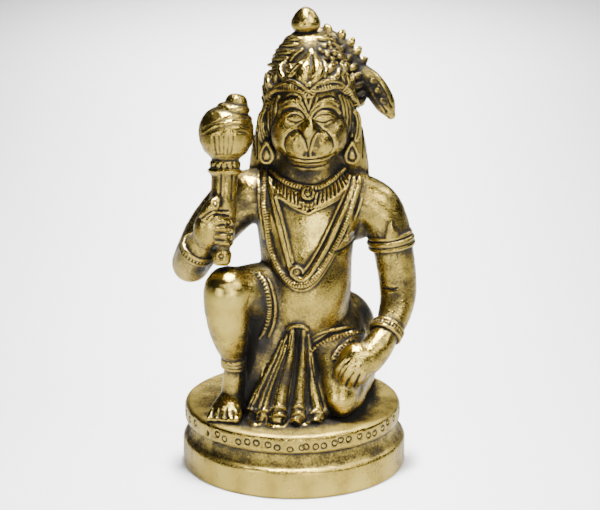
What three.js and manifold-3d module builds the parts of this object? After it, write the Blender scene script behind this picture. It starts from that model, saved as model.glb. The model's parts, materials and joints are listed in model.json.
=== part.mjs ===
// Small brass figure of Hanuman kneeling on a round plinth, cast in one piece with it.
// Millimetres, +Z up, the figure facing -Y. The origin is the middle of the plinth's underside.
// Left and right are as seen from the front, where +X is on the right.
import * as THREE from 'three';
import { mergeVertices } from 'three/addons/utils/BufferGeometryUtils.js';
import Module from 'manifold-3d';

// Plinth: a turned foot band, a cove above it and a disc that carries the figure.
const FOOT_RADIUS = 27.15;
const FOOT_HEIGHT = 7;
const FOOT_CHAMFER = 0.5;
const COVE_SETBACK = 2.1;
const COVE_HEIGHT = 3.9;
const DISC_RADIUS = 26.3;
const DISC_HEIGHT = 4.6;
const DISC_ROUND = 0.7;
const DISC_DOME = 0.3;
const DISC_OFF_CENTRE = -0.4;
const PLINTH_SIDES = 28;

// Figure: from here on, heights are measured from the disc's face and belong to a figure that is
// LAYOUT_HEIGHT high, which is scaled to FIGURE_HEIGHT. Its lowest BEDDING is sunk in the disc.
const FIGURE_HEIGHT = 96.5;
const FIGURE_OFF_CENTRE = 0.6;
const LAYOUT_HEIGHT = 96.5;
const BEDDING = 0.4;

const X_AXIS = new THREE.Vector3(1, 0, 0);
const Y_AXIS = new THREE.Vector3(0, 1, 0);
const Z_AXIS = new THREE.Vector3(0, 0, 1);
const { lerp, degToRad, clamp } = THREE.MathUtils;

const wasm = await Module();
wasm.setup();

// A closed geometry as a solid that can be joined and cut.
function solidOf(geometry) {
  const bare = new THREE.BufferGeometry();
  bare.setAttribute('position', geometry.getAttribute('position').clone());
  if (geometry.index) bare.setIndex(geometry.index.clone());
  const merged = mergeVertices(bare, 1e-4);
  return new wasm.Manifold(new wasm.Mesh({
    numProp: 3,
    vertProperties: new Float32Array(merged.attributes.position.array),
    triVerts: new Uint32Array(merged.index.array),
  }));
}

function geometryOf(solid) {
  const mesh = solid.getMesh();
  const geometry = new THREE.BufferGeometry();
  geometry.setAttribute('position', new THREE.BufferAttribute(new Float32Array(mesh.vertProperties), 3));
  geometry.setIndex(new THREE.BufferAttribute(new Uint32Array(mesh.triVerts), 1));
  geometry.computeVertexNormals();
  return geometry;
}

function join(solids) {
  return solids.reduce((whole, piece) => whole.add(piece));
}

// The same form on the left and on the right of a middle.
function onBothSides(make) {
  return [make(1), make(-1)];
}

function turn(geometry, degrees) {
  const angles = new THREE.Euler(...degrees.map(degToRad));
  return geometry.applyMatrix4(new THREE.Matrix4().makeRotationFromEuler(angles));
}

// An egg or ball with its own radius along each axis, turned by angles in degrees.
function egg(at, radii, angles = [0, 0, 0], around = 8, rings = 6) {
  const geometry = new THREE.SphereGeometry(1, around, rings).rotateX(Math.PI / 2).scale(...radii);
  return solidOf(turn(geometry, angles).translate(...at));
}

// A turned shape of [radius, height] pairs from axis to axis, leaned and put in its place.
function turned(profile, at, angles, sides, flatten = 1) {
  const outline = profile.map(([radius, height]) => new THREE.Vector2(radius, height));
  const geometry = new THREE.LatheGeometry(outline, sides).rotateX(Math.PI / 2).scale(1, flatten, 1);
  return solidOf(turn(geometry, angles).translate(...at));
}

// Stations of a limb with a ring worn round it at one of them. The ring stands proud of the limb
// by proud, and is wide from edge to edge.
function withRing(stations, place, proud, wide) {
  const worn = stations[place];
  const [before, after] = [stations[place - 1], stations[place + 1]];
  const toward = (other, distance, extra) => {
    const share = distance / new THREE.Vector3(...worn).distanceTo(new THREE.Vector3(...other));
    return worn.map((value, i) => lerp(value, other[i], share) + (i > 2 ? extra : 0));
  };
  const ring = [
    toward(before, 0.5 * wide, 0),
    toward(before, 0.25 * wide, proud),
    toward(after, 0.25 * wide, proud),
    toward(after, 0.5 * wide, 0),
  ];
  return [...stations.slice(0, place), ...ring, ...stations.slice(place + 1)];
}

// The closed surface over rings of equal count, with a point at each end.
function skin(rings, first, last) {
  const sides = rings[0].length;
  const points = [first, ...rings.flat(), last];
  const at = (ring, side) => 1 + ring * sides + (side % sides);
  const index = [];
  for (let side = 0; side < sides; side += 1) {
    index.push(0, at(0, side + 1), at(0, side));
    for (let ring = 0; ring < rings.length - 1; ring += 1) {
      index.push(at(ring, side), at(ring, side + 1), at(ring + 1, side + 1));
      index.push(at(ring, side), at(ring + 1, side + 1), at(ring + 1, side));
    }
    index.push(points.length - 1, at(rings.length - 1, side), at(rings.length - 1, side + 1));
  }
  const geometry = new THREE.BufferGeometry().setFromPoints(points);
  geometry.setIndex(index);
  return geometry;
}

// A limb is a skin over stations [x, y, z, across, deep], with round ends. across is the half
// width beside the reference direction, and deep, which is the same if left out, is along it.
// A ridged limb turns an edge, not a flat, along the reference direction.
function limb(stations, { sides = 8, reference = Y_AXIS, capRings = 1, ridged = false } = {}) {
  const path = new THREE.CatmullRomCurve3(stations.map(([x, y, z]) => new THREE.Vector3(x, y, z)));
  const girth = new THREE.CatmullRomCurve3(stations.map((s) => new THREE.Vector3(s[3], s[4] ?? s[3], 0)));
  const spans = stations.length - 1;
  const firstSide = ridged ? 0 : 0.5;
  const rings = [];
  const addRing = (share, shrink, offset) => {
    const centre = path.getPoint(share);
    const tangent = path.getTangent(share);
    const size = girth.getPoint(share);
    const side = new THREE.Vector3().crossVectors(reference, tangent).normalize();
    const depth = new THREE.Vector3().crossVectors(tangent, side).normalize();
    centre.addScaledVector(tangent, offset * Math.min(size.x, size.y));
    if (shrink === 0) return centre;
    const angles = [...Array(sides).keys()].map((k) => (2 * Math.PI * (k + firstSide)) / sides);
    rings.push(angles.map((angle) => centre.clone()
      .addScaledVector(side, shrink * size.x * Math.cos(angle))
      .addScaledVector(depth, shrink * size.y * Math.sin(angle))));
    return centre;
  };
  const cap = [...Array(capRings).keys()].map((i) => ((i + 1) / (capRings + 1)) * (Math.PI / 2));
  const first = addRing(0, 0, -1);
  for (const angle of [...cap].reverse()) addRing(0, Math.cos(angle), -Math.sin(angle));
  for (let i = 0; i <= spans; i += 1) addRing(i / spans, 1, 0);
  for (const angle of cap) addRing(1, Math.cos(angle), Math.sin(angle));
  const last = addRing(1, 0, 1);
  return solidOf(skin(rings, first, last));
}

// A cord of even radius through points.
function cord(points, radius, options = {}) {
  return limb(points.map((point) => [...point, radius]), { sides: 5, capRings: 0, ...options });
}

// Plinth
function plinth() {
  const coveFoot = FOOT_RADIUS - COVE_SETBACK;
  const discFoot = FOOT_HEIGHT + COVE_HEIGHT;
  const base = turned([
    [0, 0],
    [FOOT_RADIUS - FOOT_CHAMFER, 0],
    [FOOT_RADIUS, FOOT_CHAMFER],
    [FOOT_RADIUS, FOOT_HEIGHT - FOOT_CHAMFER],
    [FOOT_RADIUS - FOOT_CHAMFER, FOOT_HEIGHT],
    [lerp(FOOT_RADIUS, coveFoot, 0.8), FOOT_HEIGHT + 0.3 * COVE_HEIGHT],
    [coveFoot, FOOT_HEIGHT + 0.7 * COVE_HEIGHT],
    [coveFoot, discFoot + 0.5 * DISC_HEIGHT],
    [0, discFoot + 0.5 * DISC_HEIGHT],
  ], [0, 0, 0], [0, 0, 0], PLINTH_SIDES);
  const disc = turned([
    [0, 0],
    [DISC_RADIUS - DISC_ROUND, 0],
    [DISC_RADIUS, DISC_ROUND],
    [DISC_RADIUS, DISC_HEIGHT - DISC_ROUND],
    [DISC_RADIUS - DISC_ROUND, DISC_HEIGHT],
    [0, DISC_HEIGHT + DISC_DOME],
  ], [DISC_OFF_CENTRE, 0, discFoot], [0, 0, 0], PLINTH_SIDES);
  return base.add(disc);
}

// Trunk: sections of height, middle x, middle y, half width and half depth, from seat to neck
const TRUNK = [
  [17, 2.2, 1.0, 9.5, 8.5],
  [21.5, 2.5, -0.8, 9.6, 9.6],
  [25, 2.6, -2.2, 9.9, 11.0],
  [30, 2.6, -2.7, 10.6, 11.5],
  [36, 2.4, -2.0, 10.9, 10.2],
  [42, 2.4, -1.3, 11.6, 9.5],
  [47, 2.6, -0.9, 12.6, 9.2],
  [51, 2.8, -0.4, 13.4, 8.4],
  [57, 3.0, 0.4, 9.2, 7.0],
  [62, 3.1, 0.2, 7.4, 6.4],
];

// The point of the trunk's front at a width and height, raised by lift.
function onTrunk(x, height, lift = 0) {
  const above = TRUNK.findIndex((section) => height <= section[0]);
  const upper = above < 1 ? TRUNK.length - 1 : above;
  const lower = TRUNK[upper - 1];
  const share = clamp((height - lower[0]) / (TRUNK[upper][0] - lower[0]), 0, 1);
  const [, middle, y, across, deep] = lower.map((value, i) => lerp(value, TRUNK[upper][i], share));
  const sideways = clamp((x - middle) / across, -0.97, 0.97);
  return [x, y - (deep + lift) * Math.sqrt(1 - sideways * sideways), height];
}

function trunk() {
  const body = limb(TRUNK.map(([z, x, y, across, deep]) => [x, y, z, across, deep]), { sides: 12 });
  return body.add(egg([14.4, 0.6, 46.0], [4.6, 4.4, 5.8], [0, 0, 0], 6, 6));
}

// Hips and the cloth that is drawn round them
function hips() {
  return join([
    egg([9.5, 4.0, 17.0], [10.4, 9.8, 11.4], [0, 0, 0], 10, 8),
    egg([-3.0, 4.5, 16.0], [9.0, 8.8, 10.4]),
    egg([3.0, 6.6, 7.6], [13.4, 10.8, 10.8]),
  ]);
}

// A foot from its heel to the root of its toes, with the big toe on the right of the foot's own
// direction for a side of 1, and on the left for -1.
function foot(heel, ball, halfWidth, side) {
  const along = new THREE.Vector3(ball[0] - heel[0], ball[1] - heel[1], 0).normalize();
  const across = new THREE.Vector3().crossVectors(along, Z_AXIS).normalize();
  const sole = limb([
    [...heel, 2.8, 2.5],
    [lerp(heel[0], ball[0], 0.5), lerp(heel[1], ball[1], 0.5), 3.6, 3.0, 3.2],
    [...ball, halfWidth, 1.8],
  ], { reference: Z_AXIS, sides: 6, capRings: 0 });
  const toes = [0, 1, 2, 3, 4].map((toe) => {
    const radius = lerp(1.2, 0.8, Math.min(1, toe / 2));
    const place = side * halfWidth * lerp(0.82, -0.82, toe / 4);
    const root = new THREE.Vector3(...ball).addScaledVector(across, place);
    const tip = root.clone().addScaledVector(along, lerp(2.4, 1.3, toe / 4));
    const line = [[root.x, root.y, radius + 0.3], [tip.x, tip.y, radius]];
    return cord(line, radius, { reference: Z_AXIS, sides: 4 });
  });
  return join([sole, ...toes]);
}

// Leg with the raised knee, on the left, standing on its foot
const ANKLET_PROUD = 0.8;
const ANKLET_WIDTH = 3.2;
function raisedLeg() {
  const thigh = limb([
    [1.0, 0.0, 23.0, 8.0],
    [-6.5, -5.0, 28.6, 7.4],
    [-13.4, -10.4, 31.0, 5.8],
  ], { reference: Z_AXIS });
  const shin = limb(withRing([
    [-16.0, -12.2, 31.4, 6.0],
    [-16.3, -12.2, 28.0, 5.6],
    [-15.8, -11.8, 22.0, 4.8],
    [-15.4, -11.2, 17.0, 3.6],
    [-14.9, -10.6, 13.2, 2.8],
    [-15.2, -10.2, 8.6, 2.8],
    [-15.6, -9.6, 2.8, 2.9],
  ], 4, ANKLET_PROUD, ANKLET_WIDTH));
  return join([thigh, shin, foot([-15.4, -9.0, 2.6], [-17.2, -15.0, 1.7], 3.7, -1)]);
}

// Leg that kneels, on the right, with its shin laid back on the plinth and its sole turned up
function kneelingLeg() {
  const thigh = limb([
    [8.5, 1.0, 18.5, 8.6],
    [9.4, -4.5, 15.4, 7.2],
    [9.8, -8.8, 10.6, 5.4],
    [10.0, -11.8, 5.4, 4.0],
  ]);
  const shin = limb([
    [10.4, -12.8, 3.0, 3.2],
    [12.6, -4.0, 4.3, 4.0],
    [15.4, 5.0, 4.0, 3.8],
    [17.0, 12.0, 3.4, 2.9],
  ], { reference: Z_AXIS });
  const sole = limb([
    [17.0, 12.0, 3.4, 2.8],
    [15.6, 16.0, 3.0, 3.0, 2.6],
    [13.6, 20.4, 1.6, 3.4, 1.2],
  ], { reference: Z_AXIS, sides: 6 });
  return join([thigh, shin, sole]);
}

// Skirt cloth: the mass between the legs, the pleats that fan from the waist, and their hem
const PLEAT_KNOT = [0.9, -10.4, 22.2];
const PLEAT_FEET = [
  [-11.6, -15.8], [-8.8, -18.8], [-5.0, -20.2], [-1.0, -20.9], [2.4, -20.6], [5.4, -18.2],
];
const HEM_DEPTH = 1.0;
function skirt() {
  const masses = [
    limb([
      [0.8, -6.4, 21.5, 3.8, 3.6],
      [-0.6, -8.4, 14.0, 5.4, 5.2],
      [-2.2, -10.6, 7.0, 7.6, 6.6],
      [-3.0, -12.0, 0.6, 9.2, 7.2],
    ]),
    limb([[-5.6, -6.6, 22.0, 6.6, 5.8], [-7.4, -8.0, 12.0, 6.4, 5.8], [-8.4, -9.0, 2.0, 6.4, 5.8]]),
  ];
  const pleats = PLEAT_FEET.map(([x, y], i) => {
    const spread = i / (PLEAT_FEET.length - 1) - 0.5;
    const top = [PLEAT_KNOT[0] + spread * 5.6, PLEAT_KNOT[1] + Math.abs(spread), PLEAT_KNOT[2]];
    return limb([
      [...top, 0.6, 0.9],
      [lerp(top[0], x, 0.3), lerp(top[1], y, 0.22), lerp(top[2], 0, 0.36), 0.8, 1.6],
      [lerp(top[0], x, 0.65), lerp(top[1], y, 0.56), lerp(top[2], 0, 0.7), 1.1, 1.9],
      [x, y, 1.2, 1.4, 1.6],
    ], { sides: 4, capRings: 0, ridged: true });
  });
  const waves = 2 * (PLEAT_FEET.length - 1);
  const line = new THREE.CatmullRomCurve3(PLEAT_FEET.map(([x, y]) => new THREE.Vector3(x, y, 0.4)));
  const hem = cord([...Array(waves + 1).keys()].map((i) => {
    const at = line.getPoint(i / waves);
    return [at.x, at.y + (i % 2 === 0 ? -0.5 : 1) * HEM_DEPTH, at.z];
  }), 0.9, { reference: Z_AXIS, sides: 4 });
  const borders = [
    [[-9.2, -10.4, 35.0], [-6.6, -12.0, 30.4], [-6.4, -12.0, 25.4], [-8.4, -12.2, 20.4]],
    [[5.4, -9.9, 17.0], [8.0, -9.9, 19.6], [12.0, -8.0, 20.8], [16.4, -3.0, 19.8]],
  ].map((points) => cord(points, 0.8));
  return join([...masses, ...pleats, hem, ...borders]);
}

// Arm on the right, hanging down to a hand that rests on the knee
const ARMLET_PROUD = 0.8;
const ARMLET_WIDTH = 3.4;
const BRACELET_PROUD = 0.7;
const BRACELET_WIDTH = 2.4;
const KNUCKLES = [[11.8, -16.8, 17.0], [13.4, -17.4, 16.2], [15.1, -17.4, 15.0], [16.8, -16.6, 13.6]];
const FINGER_REACH = [-2.0, -1.2, -4.6];
function restingArm() {
  const upper = limb(withRing([
    [13.8, 0.2, 50.8, 6.4],
    [18.8, -0.6, 48.8, 5.9],
    [22.6, -1.5, 40.6, 5.0],
    [23.8, -1.8, 34.6, 4.7],
    [24.6, -1.8, 27.4, 4.6],
  ], 2, ARMLET_PROUD, ARMLET_WIDTH));
  const lower = limb(withRing([
    [24.4, -3.0, 26.0, 4.2],
    [23.6, -5.0, 23.6, 4.0],
    [21.7, -8.2, 20.2, 3.3],
    [19.2, -11.6, 16.6, 4.2],
    [16.8, -13.4, 14.4, 4.2],
  ], 2, BRACELET_PROUD, BRACELET_WIDTH));
  const palm = egg([14.8, -13.8, 15.6], [4.6, 3.8, 4.8]);
  const fingers = KNUCKLES.map((root) => {
    const tip = root.map((value, axis) => value + FINGER_REACH[axis]);
    return cord([root, tip], 1.4);
  });
  const thumb = cord([[14.2, -14.6, 19.4], [9.8, -16.0, 15.6]], 1.3, { sides: 4 });
  const leaf = egg([22.0, -6.0, 43.8], [1.9, 1.1, 2.6], [0, 0, 0], 4, 4);
  return join([upper, lower, palm, ...fingers, thumb, leaf]);
}

// Arm on the left, bent up to a fist that holds the mace
const FINGER_PITCH = 2.3;
function raisedArm() {
  const upper = limb([
    [-8.0, 0.6, 51.0, 6.4],
    [-13.4, 0.0, 50.4, 6.5],
    [-20.0, -1.6, 43.8, 5.9],
    [-25.5, -2.6, 35.8, 4.7],
  ]);
  const lower = limb(withRing([
    [-25.4, -4.0, 36.8, 4.3],
    [-24.4, -7.4, 39.0, 4.2],
    [-21.6, -12.0, 46.0, 4.2],
    [-20.4, -12.8, 50.4, 3.2],
  ], 1, BRACELET_PROUD, BRACELET_WIDTH));
  const fingers = [0, 1, 2, 3].map((finger) => {
    const height = 51.2 - finger * FINGER_PITCH;
    return cord([
      [-20.6, -15.4, height - 0.4],
      [-18.0, -17.0, height],
      [-15.4, -15.8, height + 0.2],
      [-14.6, -13.6, height + 0.2],
    ], 1.3, { reference: Z_AXIS, sides: 4 });
  });
  const thumb = cord([[-21.4, -13.6, 50.4], [-19.4, -15.2, 54.0]], 1.5);
  return join([upper, lower, ...fingers, thumb]);
}

// Mace: pommel, handle, collar and round head turned in one, with a stepped cap that leans over
const MACE_FOOT = [-17.6, -13.6, 38.4];
const MACE_LEAN = [-10.5, 2.3, 0];
const MACE_CAP = [-15.8, -7.4, 72.3];
const MACE_CAP_LEAN = [-8, 13, 0];
function mace() {
  const shaft = turned([
    [0, 0], [2.0, 0.2], [2.2, 3.2], [1.8, 4.0], [2.3, 5.0],
    [2.6, 21.4], [3.6, 22.6], [3.6, 24.0], [2.8, 24.8], [4.6, 26.2], [5.9, 28.4],
    [6.2, 31.0], [5.5, 33.8], [3.9, 35.8], [0, 36.6],
  ], MACE_FOOT, MACE_LEAN, 10);
  const cap = turned([
    [0, 0], [4.0, 0.6], [3.9, 2.4], [2.8, 2.8], [2.6, 4.0], [1.8, 4.3], [1.5, 5.2], [0, 5.5],
  ], MACE_CAP, MACE_CAP_LEAN, 8);
  return shaft.add(cap);
}

// Head: jaw to brow, with the muzzle, nose, brows and eyes laid on it
const HEAD_MIDDLE = 3.0;
const FACE = [
  [62.2, -3.6, 5.4, 4.6],
  [65.4, -2.6, 7.5, 7.6],
  [69.4, -2.1, 8.1, 7.9],
  [74.0, -1.8, 8.3, 8.0],
  [78.5, -1.0, 8.1, 7.8],
];
const HAIR = [
  [74.0, 2.4, 10.8, 6.6],
  [68.0, 2.8, 12.4, 6.8],
  [62.0, 3.0, 13.8, 6.8],
  [57.0, 3.4, 14.2, 4.8],
];
function head() {
  const beside = (s, offset) => HEAD_MIDDLE + s * offset;
  const skull = limb(FACE.map(([z, y, across, deep]) => [HEAD_MIDDLE, y, z, across, deep]), { sides: 12 });
  const hair = limb(HAIR.map(([z, y, across, deep]) => [HEAD_MIDDLE, y, z, across, deep]), { capRings: 0 });
  const nose = limb([
    [HEAD_MIDDLE, -9.4, 75.2, 0.8],
    [HEAD_MIDDLE, -10.4, 72.4, 0.8],
    [HEAD_MIDDLE, -11.6, 69.8, 1.4],
  ], { sides: 5, capRings: 0 });
  const lip = cord([
    [beside(-1, 4.6), -7.8, 63.4],
    [HEAD_MIDDLE, -10.4, 61.6],
    [beside(1, 4.6), -7.8, 63.4],
  ], 0.9, { sides: 4 });
  const pairs = onBothSides((s) => {
    const muzzle = egg([beside(s, 2.95), -9.4, 66.5], [3.2, 2.8, 3.7], [0, 0, 0], 8, 5);
    const eye = egg([beside(s, 3.7), -8.9, 72.5], [2.2, 1.1, 0.9], [0, 0, 0], 5, 4);
    const ear = egg([beside(s, 10.4), -0.8, 69.2], [1.7, 1.6, 3.7], [0, s * 6, 0], 6, 4);
    const earDrop = egg([beside(s, 10.2), -1.8, 62.6], [1.5, 1.6, 2.7], [0, 0, 0], 5, 4);
    const brow = cord([
      [beside(s, 0.8), -9.6, 74.4],
      [beside(s, 3.4), -9.2, 76.4],
      [beside(s, 6.6), -7.0, 74.8],
    ], 0.8, { sides: 4 });
    const templeHair = cord([
      [beside(s, 8.2), -4.2, 76.0],
      [beside(s, 8.8), -2.4, 71.0],
      [beside(s, 8.9), -1.6, 65.4],
    ], 1.4, { sides: 4 });
    return join([muzzle, eye, ear, earDrop, brow, templeHair]);
  });
  return join([skull, hair, nose, lip, ...pairs]);
}

// Crown: a dome in stepped bands, an arched band over the brows, leaves at the front, and a bud
const CROWN_MIDDLE = [3.0, 1.3];
const CROWN_DEPTH = 0.88;
const CROWN_BAND = 79.6;
const CROWN = [
  [0, 69.0], [9.6, 69.6], [11.0, 77.6], [10.7, 81.2],
  [9.9, 81.8], [9.4, 84.0], [8.6, 84.6], [7.8, 86.4], [6.6, 86.9], [3.6, 88.8], [0, 89.0],
];
const BUD_MIDDLE = [2.2, 3.0];
const BUD = [
  [0, 88.0], [2.5, 88.4], [2.3, 90.3], [3.05, 91.4], [2.9, 92.8], [1.9, 94.6], [0.6, 96.1], [0, 96.5],
];
function crown() {
  // A point on the dome's wall at an angle from the front
  const onWall = (angle, reach, height) => [
    CROWN_MIDDLE[0] + reach * Math.sin(angle),
    CROWN_MIDDLE[1] - reach * CROWN_DEPTH * Math.cos(angle),
    height,
  ];
  const dome = turned(CROWN, [...CROWN_MIDDLE, 0], [0, 0, 0], 14, CROWN_DEPTH);
  const bud = turned(BUD, [...BUD_MIDDLE, 0], [0, 0, 0], 8);
  const band = cord([-1, -0.75, -0.4, -0.14, 0, 0.14, 0.4, 0.75, 1].map((share) => {
    const dip = share === 0 ? 1.2 : 0;
    return onWall(share * 1.45, 11.0, CROWN_BAND - 8.5 * Math.abs(share) ** 2.2 - dip);
  }), 1.1, { reference: Z_AXIS, sides: 4, ridged: true });
  const frontLeaf = egg(onWall(0, 10.0, 83.2), [2.8, 1.7, 4.3], [14, 0, 0], 8, 4);
  const scrolls = onBothSides((s) => {
    const inner = [onWall(s * 0.16, 10.6, 80.6), onWall(s * 0.42, 10.2, 83.2), onWall(s * 0.3, 9.6, 85.2)];
    const outer = [onWall(s * 0.5, 10.7, 80.4), onWall(s * 0.72, 10.2, 83.2), onWall(s * 0.95, 10.5, 81.0)];
    return join([cord(inner, 1.0, { sides: 4 }), cord(outer, 1.0, { sides: 4 })]);
  });
  return join([dome, bud, band, frontLeaf, ...scrolls]);
}

// Tail: up the back, over the crown and down on the right to its tuft, fringed along the arch
const TAIL = [
  [4.0, 12.8, 10.0], [4.5, 11.2, 24.0], [4.5, 9.8, 40.0], [4.5, 9.6, 54.0], [4.5, 10.8, 66.0],
  [4.5, 11.2, 78.0], [6.0, 8.8, 86.4],
];
const TAIL_ARCH = [
  [6.0, 8.8, 86.4], [9.4, 6.6, 88.0], [12.2, 5.8, 86.0], [14.4, 5.4, 82.6], [16.2, 5.2, 79.0],
];
const TAIL_RADIUS = 2.2;
const FRINGE_TUFTS = 7;
function tail() {
  const rise = cord(TAIL, TAIL_RADIUS, { sides: 6, reference: X_AXIS });
  const arch = cord(TAIL_ARCH, TAIL_RADIUS, { sides: 6 });
  const line = new THREE.CatmullRomCurve3(TAIL_ARCH.map((point) => new THREE.Vector3(...point)));
  const fringe = [...Array(FRINGE_TUFTS).keys()].map((i) => {
    const share = i / (FRINGE_TUFTS - 1);
    const outward = new THREE.Vector3().crossVectors(line.getTangent(share), Y_AXIS).normalize();
    const root = line.getPoint(share).addScaledVector(outward, 1.2);
    const tip = line.getPoint(share).addScaledVector(outward, 2.6);
    return cord([root.toArray(), tip.toArray()], 0.9, { sides: 4 });
  });
  const tuft = limb([
    [16.8, 5.2, 79.4, 2.3],
    [18.8, 4.8, 76.4, 2.8],
    [20.6, 4.4, 73.2, 2.6],
    [22.0, 4.0, 70.6, 1.2],
  ]);
  return join([rise, arch, ...fringe, tuft]);
}

// Ornaments on the chest, as rows of width and height: choker, collar, garland, pendant's cord
const CHOKER = [[-4.8, 59.2], [-1.4, 57.4], [3.0, 56.4], [7.4, 57.4], [10.8, 59.2]];
const COLLAR = [[-6.4, 57.0], [-3.4, 54.8], [0.6, 53.6], [5.0, 53.6], [9.0, 54.9], [12.2, 57.2]];
const GARLAND = [
  [-7.8, 56.0], [-6.8, 47.4], [-5.2, 39.4], [-2.4, 33.8], [0.4, 32.4],
  [3.6, 33.9], [7.2, 40.0], [10.8, 47.4], [13.8, 56.0],
];
const PENDANT_CORD = [[-5.6, 55.0], [-3.6, 43.4], [0, 36.4], [4.2, 42.0], [11.4, 55.6]];
function ornaments() {
  const across = { reference: Z_AXIS };
  const row = (points, lift) => points.map(([x, height]) => onTrunk(x, height, lift));
  const flat = (points, lift, high) => limb(row(points, lift).map((p) => [...p, 1.1, high]),
    { sides: 4, capRings: 0, ...across });
  return join([
    cord(row(CHOKER, 0.6), 0.8, { sides: 4, ...across }),
    flat(COLLAR, 0.3, 2.4),
    flat(GARLAND, 0.3, 1.5),
    cord(row(PENDANT_CORD, 0.2), 0.8, { sides: 4, ...across }),
    egg(onTrunk(2.6, 54.2, 1.2), [1.7, 1.0, 1.7], [0, 0, 0], 6, 4),
    egg(onTrunk(2.6, 51.2, 0.6), [0.9, 0.9, 1.3], [0, 0, 0], 4, 3),
    egg(onTrunk(0.2, 36.7, 0.6), [2.0, 1.0, 2.0], [0, 0, 0], 6, 4),
  ]);
}

function figure() {
  const carved = join([
    trunk(), hips(), raisedLeg(), kneelingLeg(), skirt(), restingArm(), raisedArm(), mace(),
    head(), crown(), tail(), ornaments(),
  ]);
  const below = new THREE.BoxGeometry(200, 200, 20).translate(0, 0, -10 - BEDDING);
  const scale = FIGURE_HEIGHT / LAYOUT_HEIGHT;
  const placed = geometryOf(carved.subtract(solidOf(below))).scale(scale, scale, scale);
  return solidOf(placed.translate(FIGURE_OFF_CENTRE, 0, FOOT_HEIGHT + COVE_HEIGHT + DISC_HEIGHT));
}

const brass = new THREE.MeshStandardMaterial({ color: 0xb08d3c, roughness: 0.28, metalness: 1 });
const casting = new THREE.Mesh(geometryOf(plinth().add(figure())), brass);
casting.name = 'hanuman_figure';

const group = new THREE.Group();
group.add(casting);

export default group;
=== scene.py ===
# Small brass figure of Hanuman kneeling on a round plinth, modelled in wax, cast in one and chased.
import json
import math
import random
import bpy
import numpy as np
from mathutils import Euler, Matrix, Vector
from mathutils.bvhtree import BVHTree
from mathutils.kdtree import KDTree

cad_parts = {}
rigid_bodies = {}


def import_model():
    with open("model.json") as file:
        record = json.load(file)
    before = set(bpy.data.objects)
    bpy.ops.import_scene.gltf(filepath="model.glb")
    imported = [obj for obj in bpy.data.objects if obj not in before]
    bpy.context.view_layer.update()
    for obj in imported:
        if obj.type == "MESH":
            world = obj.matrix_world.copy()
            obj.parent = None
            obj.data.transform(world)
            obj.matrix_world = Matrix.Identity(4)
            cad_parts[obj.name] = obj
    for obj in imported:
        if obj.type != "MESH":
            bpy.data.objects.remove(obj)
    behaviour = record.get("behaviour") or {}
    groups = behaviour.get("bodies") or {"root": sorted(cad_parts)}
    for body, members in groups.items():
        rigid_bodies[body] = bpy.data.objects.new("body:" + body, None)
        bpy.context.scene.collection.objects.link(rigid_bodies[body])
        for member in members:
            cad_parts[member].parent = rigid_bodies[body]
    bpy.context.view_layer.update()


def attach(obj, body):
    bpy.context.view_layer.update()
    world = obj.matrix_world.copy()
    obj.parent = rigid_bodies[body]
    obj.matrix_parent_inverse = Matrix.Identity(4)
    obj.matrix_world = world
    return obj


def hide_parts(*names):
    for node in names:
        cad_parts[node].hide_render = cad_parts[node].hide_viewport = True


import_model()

# Camera: it stands where the photograph's stood, 17 degrees above the level and 0.6 m from the figure.
# It comes first because the lines chased into the front are laid out as it sees them.
CAMERA_FALL = math.radians(17)
CAMERA_REACH = 0.6
AIM = Vector((0.00144, 0.0, 0.052))
bpy.ops.object.select_all(action="DESELECT")
eye = AIM + CAMERA_REACH * Vector((0, -math.cos(CAMERA_FALL), math.sin(CAMERA_FALL)))
bpy.ops.object.camera_add(location=eye, rotation=(math.pi / 2 - CAMERA_FALL, 0, 0))
camera = bpy.context.object
camera.name = "camera"
camera.data.sensor_width = 36
camera.data.lens = 150
camera.data.clip_start = 0.02
camera.data.clip_end = 20
bpy.context.scene.camera = camera

# Plinth: a thick disc of brass turned on the lathe, with a plain foot band, a rough cove and an upper
# disc. It carries the figure and is cast in one with it. The wax is modelled in millimetres, and the
# casting is brought to metres when it is whole.
wax = []


def keep(name):
    """Names the object just made and counts it as wax of the figure."""
    made = bpy.context.object
    made.name = name
    wax.append(made)
    return made


def turned(name, profile, at=(0, 0, 0), lean=(0, 0, 0), steps=48, flatten=1.0):
    """A solid turned from (radius, height) pairs that begin and end on the axis."""
    bpy.ops.object.select_all(action="DESELECT")
    mesh = bpy.data.meshes.new(name)
    points = [(radius, 0, height) for radius, height in profile]
    mesh.from_pydata(points, [(i, i + 1) for i in range(len(points) - 1)], [])
    made = bpy.data.objects.new(name, mesh)
    bpy.context.collection.objects.link(made)
    bpy.context.view_layer.objects.active = made
    made.select_set(True)
    bpy.ops.object.mode_set(mode="EDIT")
    bpy.ops.mesh.select_all(action="SELECT")
    bpy.ops.mesh.spin(steps=steps, angle=2 * math.pi, center=(0, 0, 0), axis=(0, 0, 1))
    bpy.ops.mesh.select_all(action="SELECT")
    bpy.ops.mesh.remove_doubles(threshold=0.001)
    bpy.ops.mesh.normals_make_consistent(inside=False)
    bpy.ops.object.mode_set(mode="OBJECT")
    place = Matrix.Translation(at) @ Euler([math.radians(a) for a in lean]).to_matrix().to_4x4()
    mesh.transform(place @ Matrix.Diagonal((1, flatten, 1, 1)))
    return keep(name)


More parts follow.
